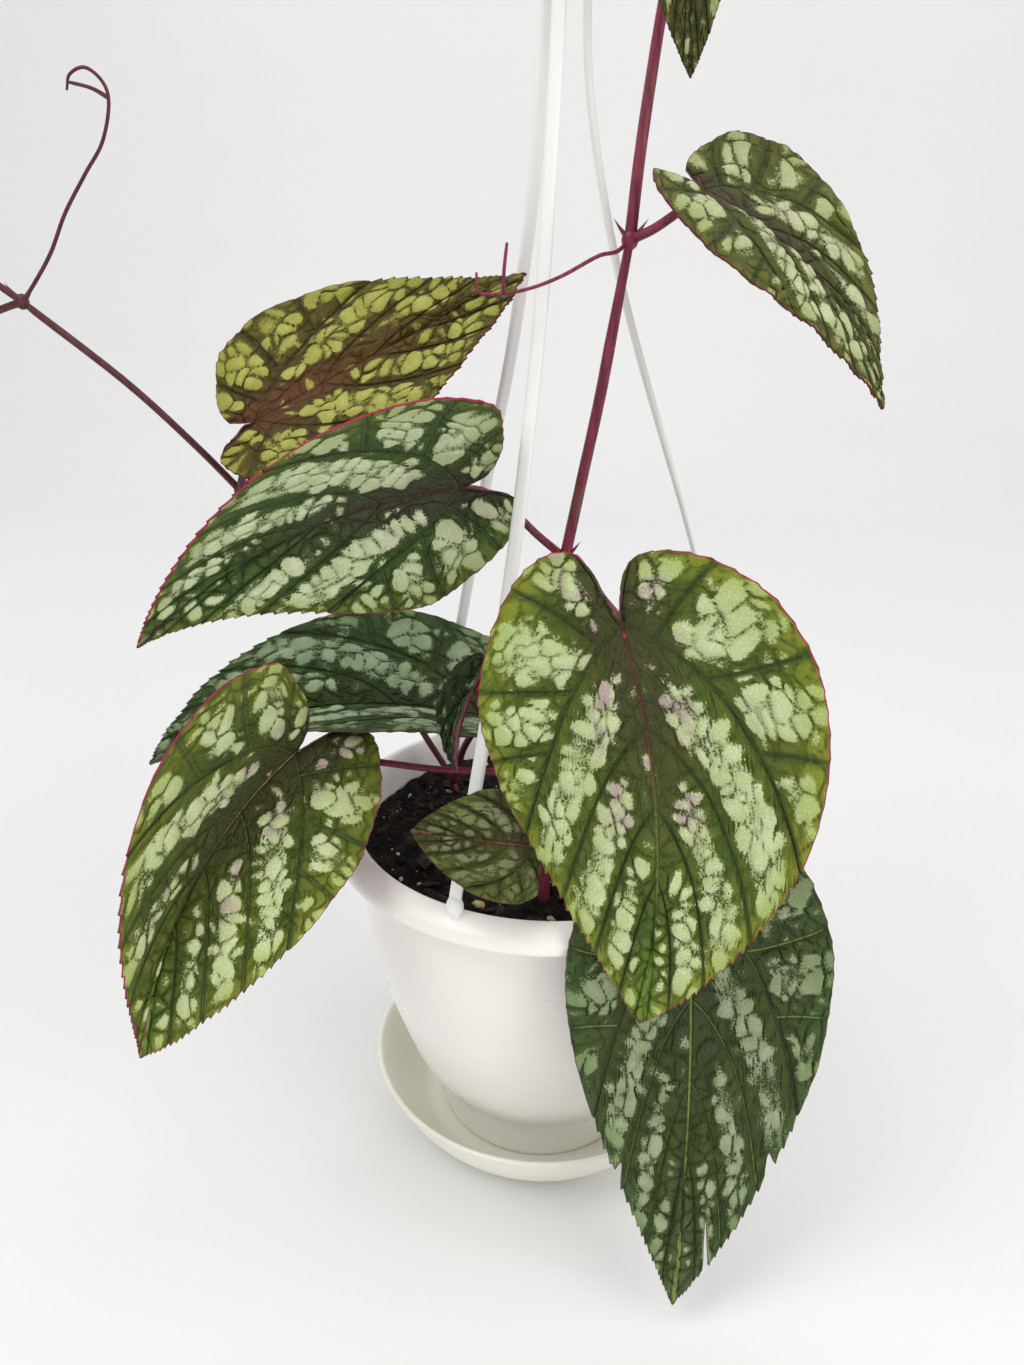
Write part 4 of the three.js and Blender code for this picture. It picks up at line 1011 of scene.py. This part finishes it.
def right_vine():
    """The thick stem, with its petioles, stipules and tendrils."""
    low, middle, high, top = RIGHT_NODES.values()
    bm = bmesh.new()
    stem(bm, [(0, -42, 108), (0, -41, 128), low, (1.5, -22, 180), (3, -11, 212), middle],
         [2.0, 2.0, 1.9, 1.9])
    stem(bm, [middle, (8.5, -7, 260), (13, -8, 285.5), (16, -9, 306), high], [1.8, 1.7])
    stem(bm, [high, (21.4, -9, 354), (25, -7, 386), top, (31, -6, 440), (32, -6, 462)], [1.7, 1.6, 1.4])
    for node in (low, middle, high, top):
        swelling(bm, node, 2.5)
    stipules(bm, middle, 3.4)
    stipules(bm, high, 3.4)
    stipules(bm, top, 2.8)
    petiole(bm, [middle, (8, -32, 238), (13, -58, 240)], "leaf_front")
    petiole(bm, [middle, (-5, -4, 241), (-13, 1, 247), (-23, -3, 255)], "leaf_left_mid")
    petiole(bm, [low, (14, -42, 158), (30, -56, 160)], "leaf_low")
    petiole(bm, [(0.8, -29, 163), (-16, -22, 162), (-38, -10, 156), (-63, 0, 153), (-78, -12, 161)],
            "leaf_left_low")
    petiole(bm, [(0.5, -35, 143), (3, -42, 148), (4.5, -51, 152), (2, -58, 155)], "leaf_young")
    petiole(bm, [(2, -18, 190), (-5, -16, 200), (-14, -17, 204)], "leaf_hanging")
    petiole(bm, [high, (26, -13, 334), (32.5, -16, 338.5)], "leaf_right_top")
    petiole(bm, [top, (29, -4, 424), (29.5, -6, 433)], "leaf_top")
    petiole(bm, [(32, -6, 459), (32.4, -5, 466)], "leaf_shoot")
    tendril(bm, [high, (16, -13, 328), (11, -17, 327), (0, -20.4, 321.4), (-8.6, -21, 318.2),
                 (-17, -21, 316.6), (-23.4, -20.4, 317), (-23.8, -21, 322)])
    tendril(bm, [(-16, -21, 316.8), (-16, -21.6, 322), (-15.2, -22, 330)])
    tendril(bm, [top, (33, -3, 424), (41, 0, 436), (44, 2, 450), (40, 2, 458), (37, 1, 453)])
    bmesh.ops.recalc_face_normals(bm, faces=bm.faces)
    finish = stem_finish("stem_maroon", paint(140, 46, 70), paint(92, 32, 46), paint(92, 76, 50))
    finished("vine_right_stems", bm, [finish], "right_stem", "vine_right")


def left_vine():
    """The thinner stem at the left, with its two branches, petioles, stipules and tendril."""
    lower, upper = LEFT_NODES.values()
    bm = bmesh.new()
    stem(bm, [(-36, 29, 108), (-36.4, 29.4, 126), (-49.5, 40, 144), (-66.4, 51, 166), (-82.6, 57, 189),
              (-100, 44, 220), lower], [1.5, 1.3, 1.25])
    stem(bm, [lower, (-120.3, 14, 263), (-138.3, 6, 285), (-162, -2, 308), upper], [1.25, 1.15])
    stem(bm, [upper, (-170.2, -5, 315.5), (-182, -8, 325)], [1.15, 1.1])
    stem(bm, [upper, (-172.5, -3, 308.5), (-187, -1, 303)], [1.15, 1.1])
    for node in (lower, upper):
        swelling(bm, node, 2.1)
    stipules(bm, lower, 3.6)
    stipules(bm, upper, 3.2)
    petiole(bm, [(-37, 29.6, 129), (-33, 26, 145)], "leaf_left_back")
    petiole(bm, [lower, (-106, 14, 256), (-101, 5, 266)], "leaf_left_top")
    petiole(bm, [(-180, -7.6, 323.6), (-185, -8, 326)], "leaf_branch_1")
    petiole(bm, [(-184, -1.4, 304), (-190, 2.6, 301.4)], "leaf_branch_2")
    tendril(bm, [upper, (-161, -4, 315), (-153, -5, 325), (-146.4, -6, 336), (-138.4, -7, 346.5),
                 (-131.4, -8, 355.4), (-127.9, -9, 366.6), (-129.7, -9, 370.8), (-133.8, -9, 373.4),
                 (-138.2, -9, 371.5), (-139.4, -9, 368)])
    tendril(bm, [(-128, -9, 366), (-132, -9.6, 368.2), (-138, -11.4, 369.6)])
    bmesh.ops.recalc_face_normals(bm, faces=bm.faces)
    finish = stem_finish("stem_dark", paint(98, 36, 46), paint(70, 34, 38), paint(96, 84, 56))
    finished("vine_left_stems", bm, [finish], "left_stem", "vine_left")


bpy.context.scene.view_settings.view_transform = "Standard"
aim_camera()
studio()
saucer_plastic = moulded_plastic("saucer_plastic", paint(246, 245, 232), paint(240, 240, 226), 0.3)
pot_plastic = moulded_plastic("pot_plastic", paint(250, 248, 242), paint(245, 243, 237), 0.28)
round_piece("saucer", SAUCER_PROFILE, saucer_plastic, "saucer_plastic")
round_piece("pot", POT_PROFILE, pot_plastic, "pot_plastic")
hanger_plastic = moulded_plastic("hanger_plastic", paint(246, 246, 243), paint(240, 240, 237), 0.36)
for node, (azimuth, bow) in STRAPS.items():
    hanger_strap(node, azimuth, bow, hanger_plastic)
hanger_hook(hanger_plastic)
potting_mix()
right_vine()
left_vine()
leaves()
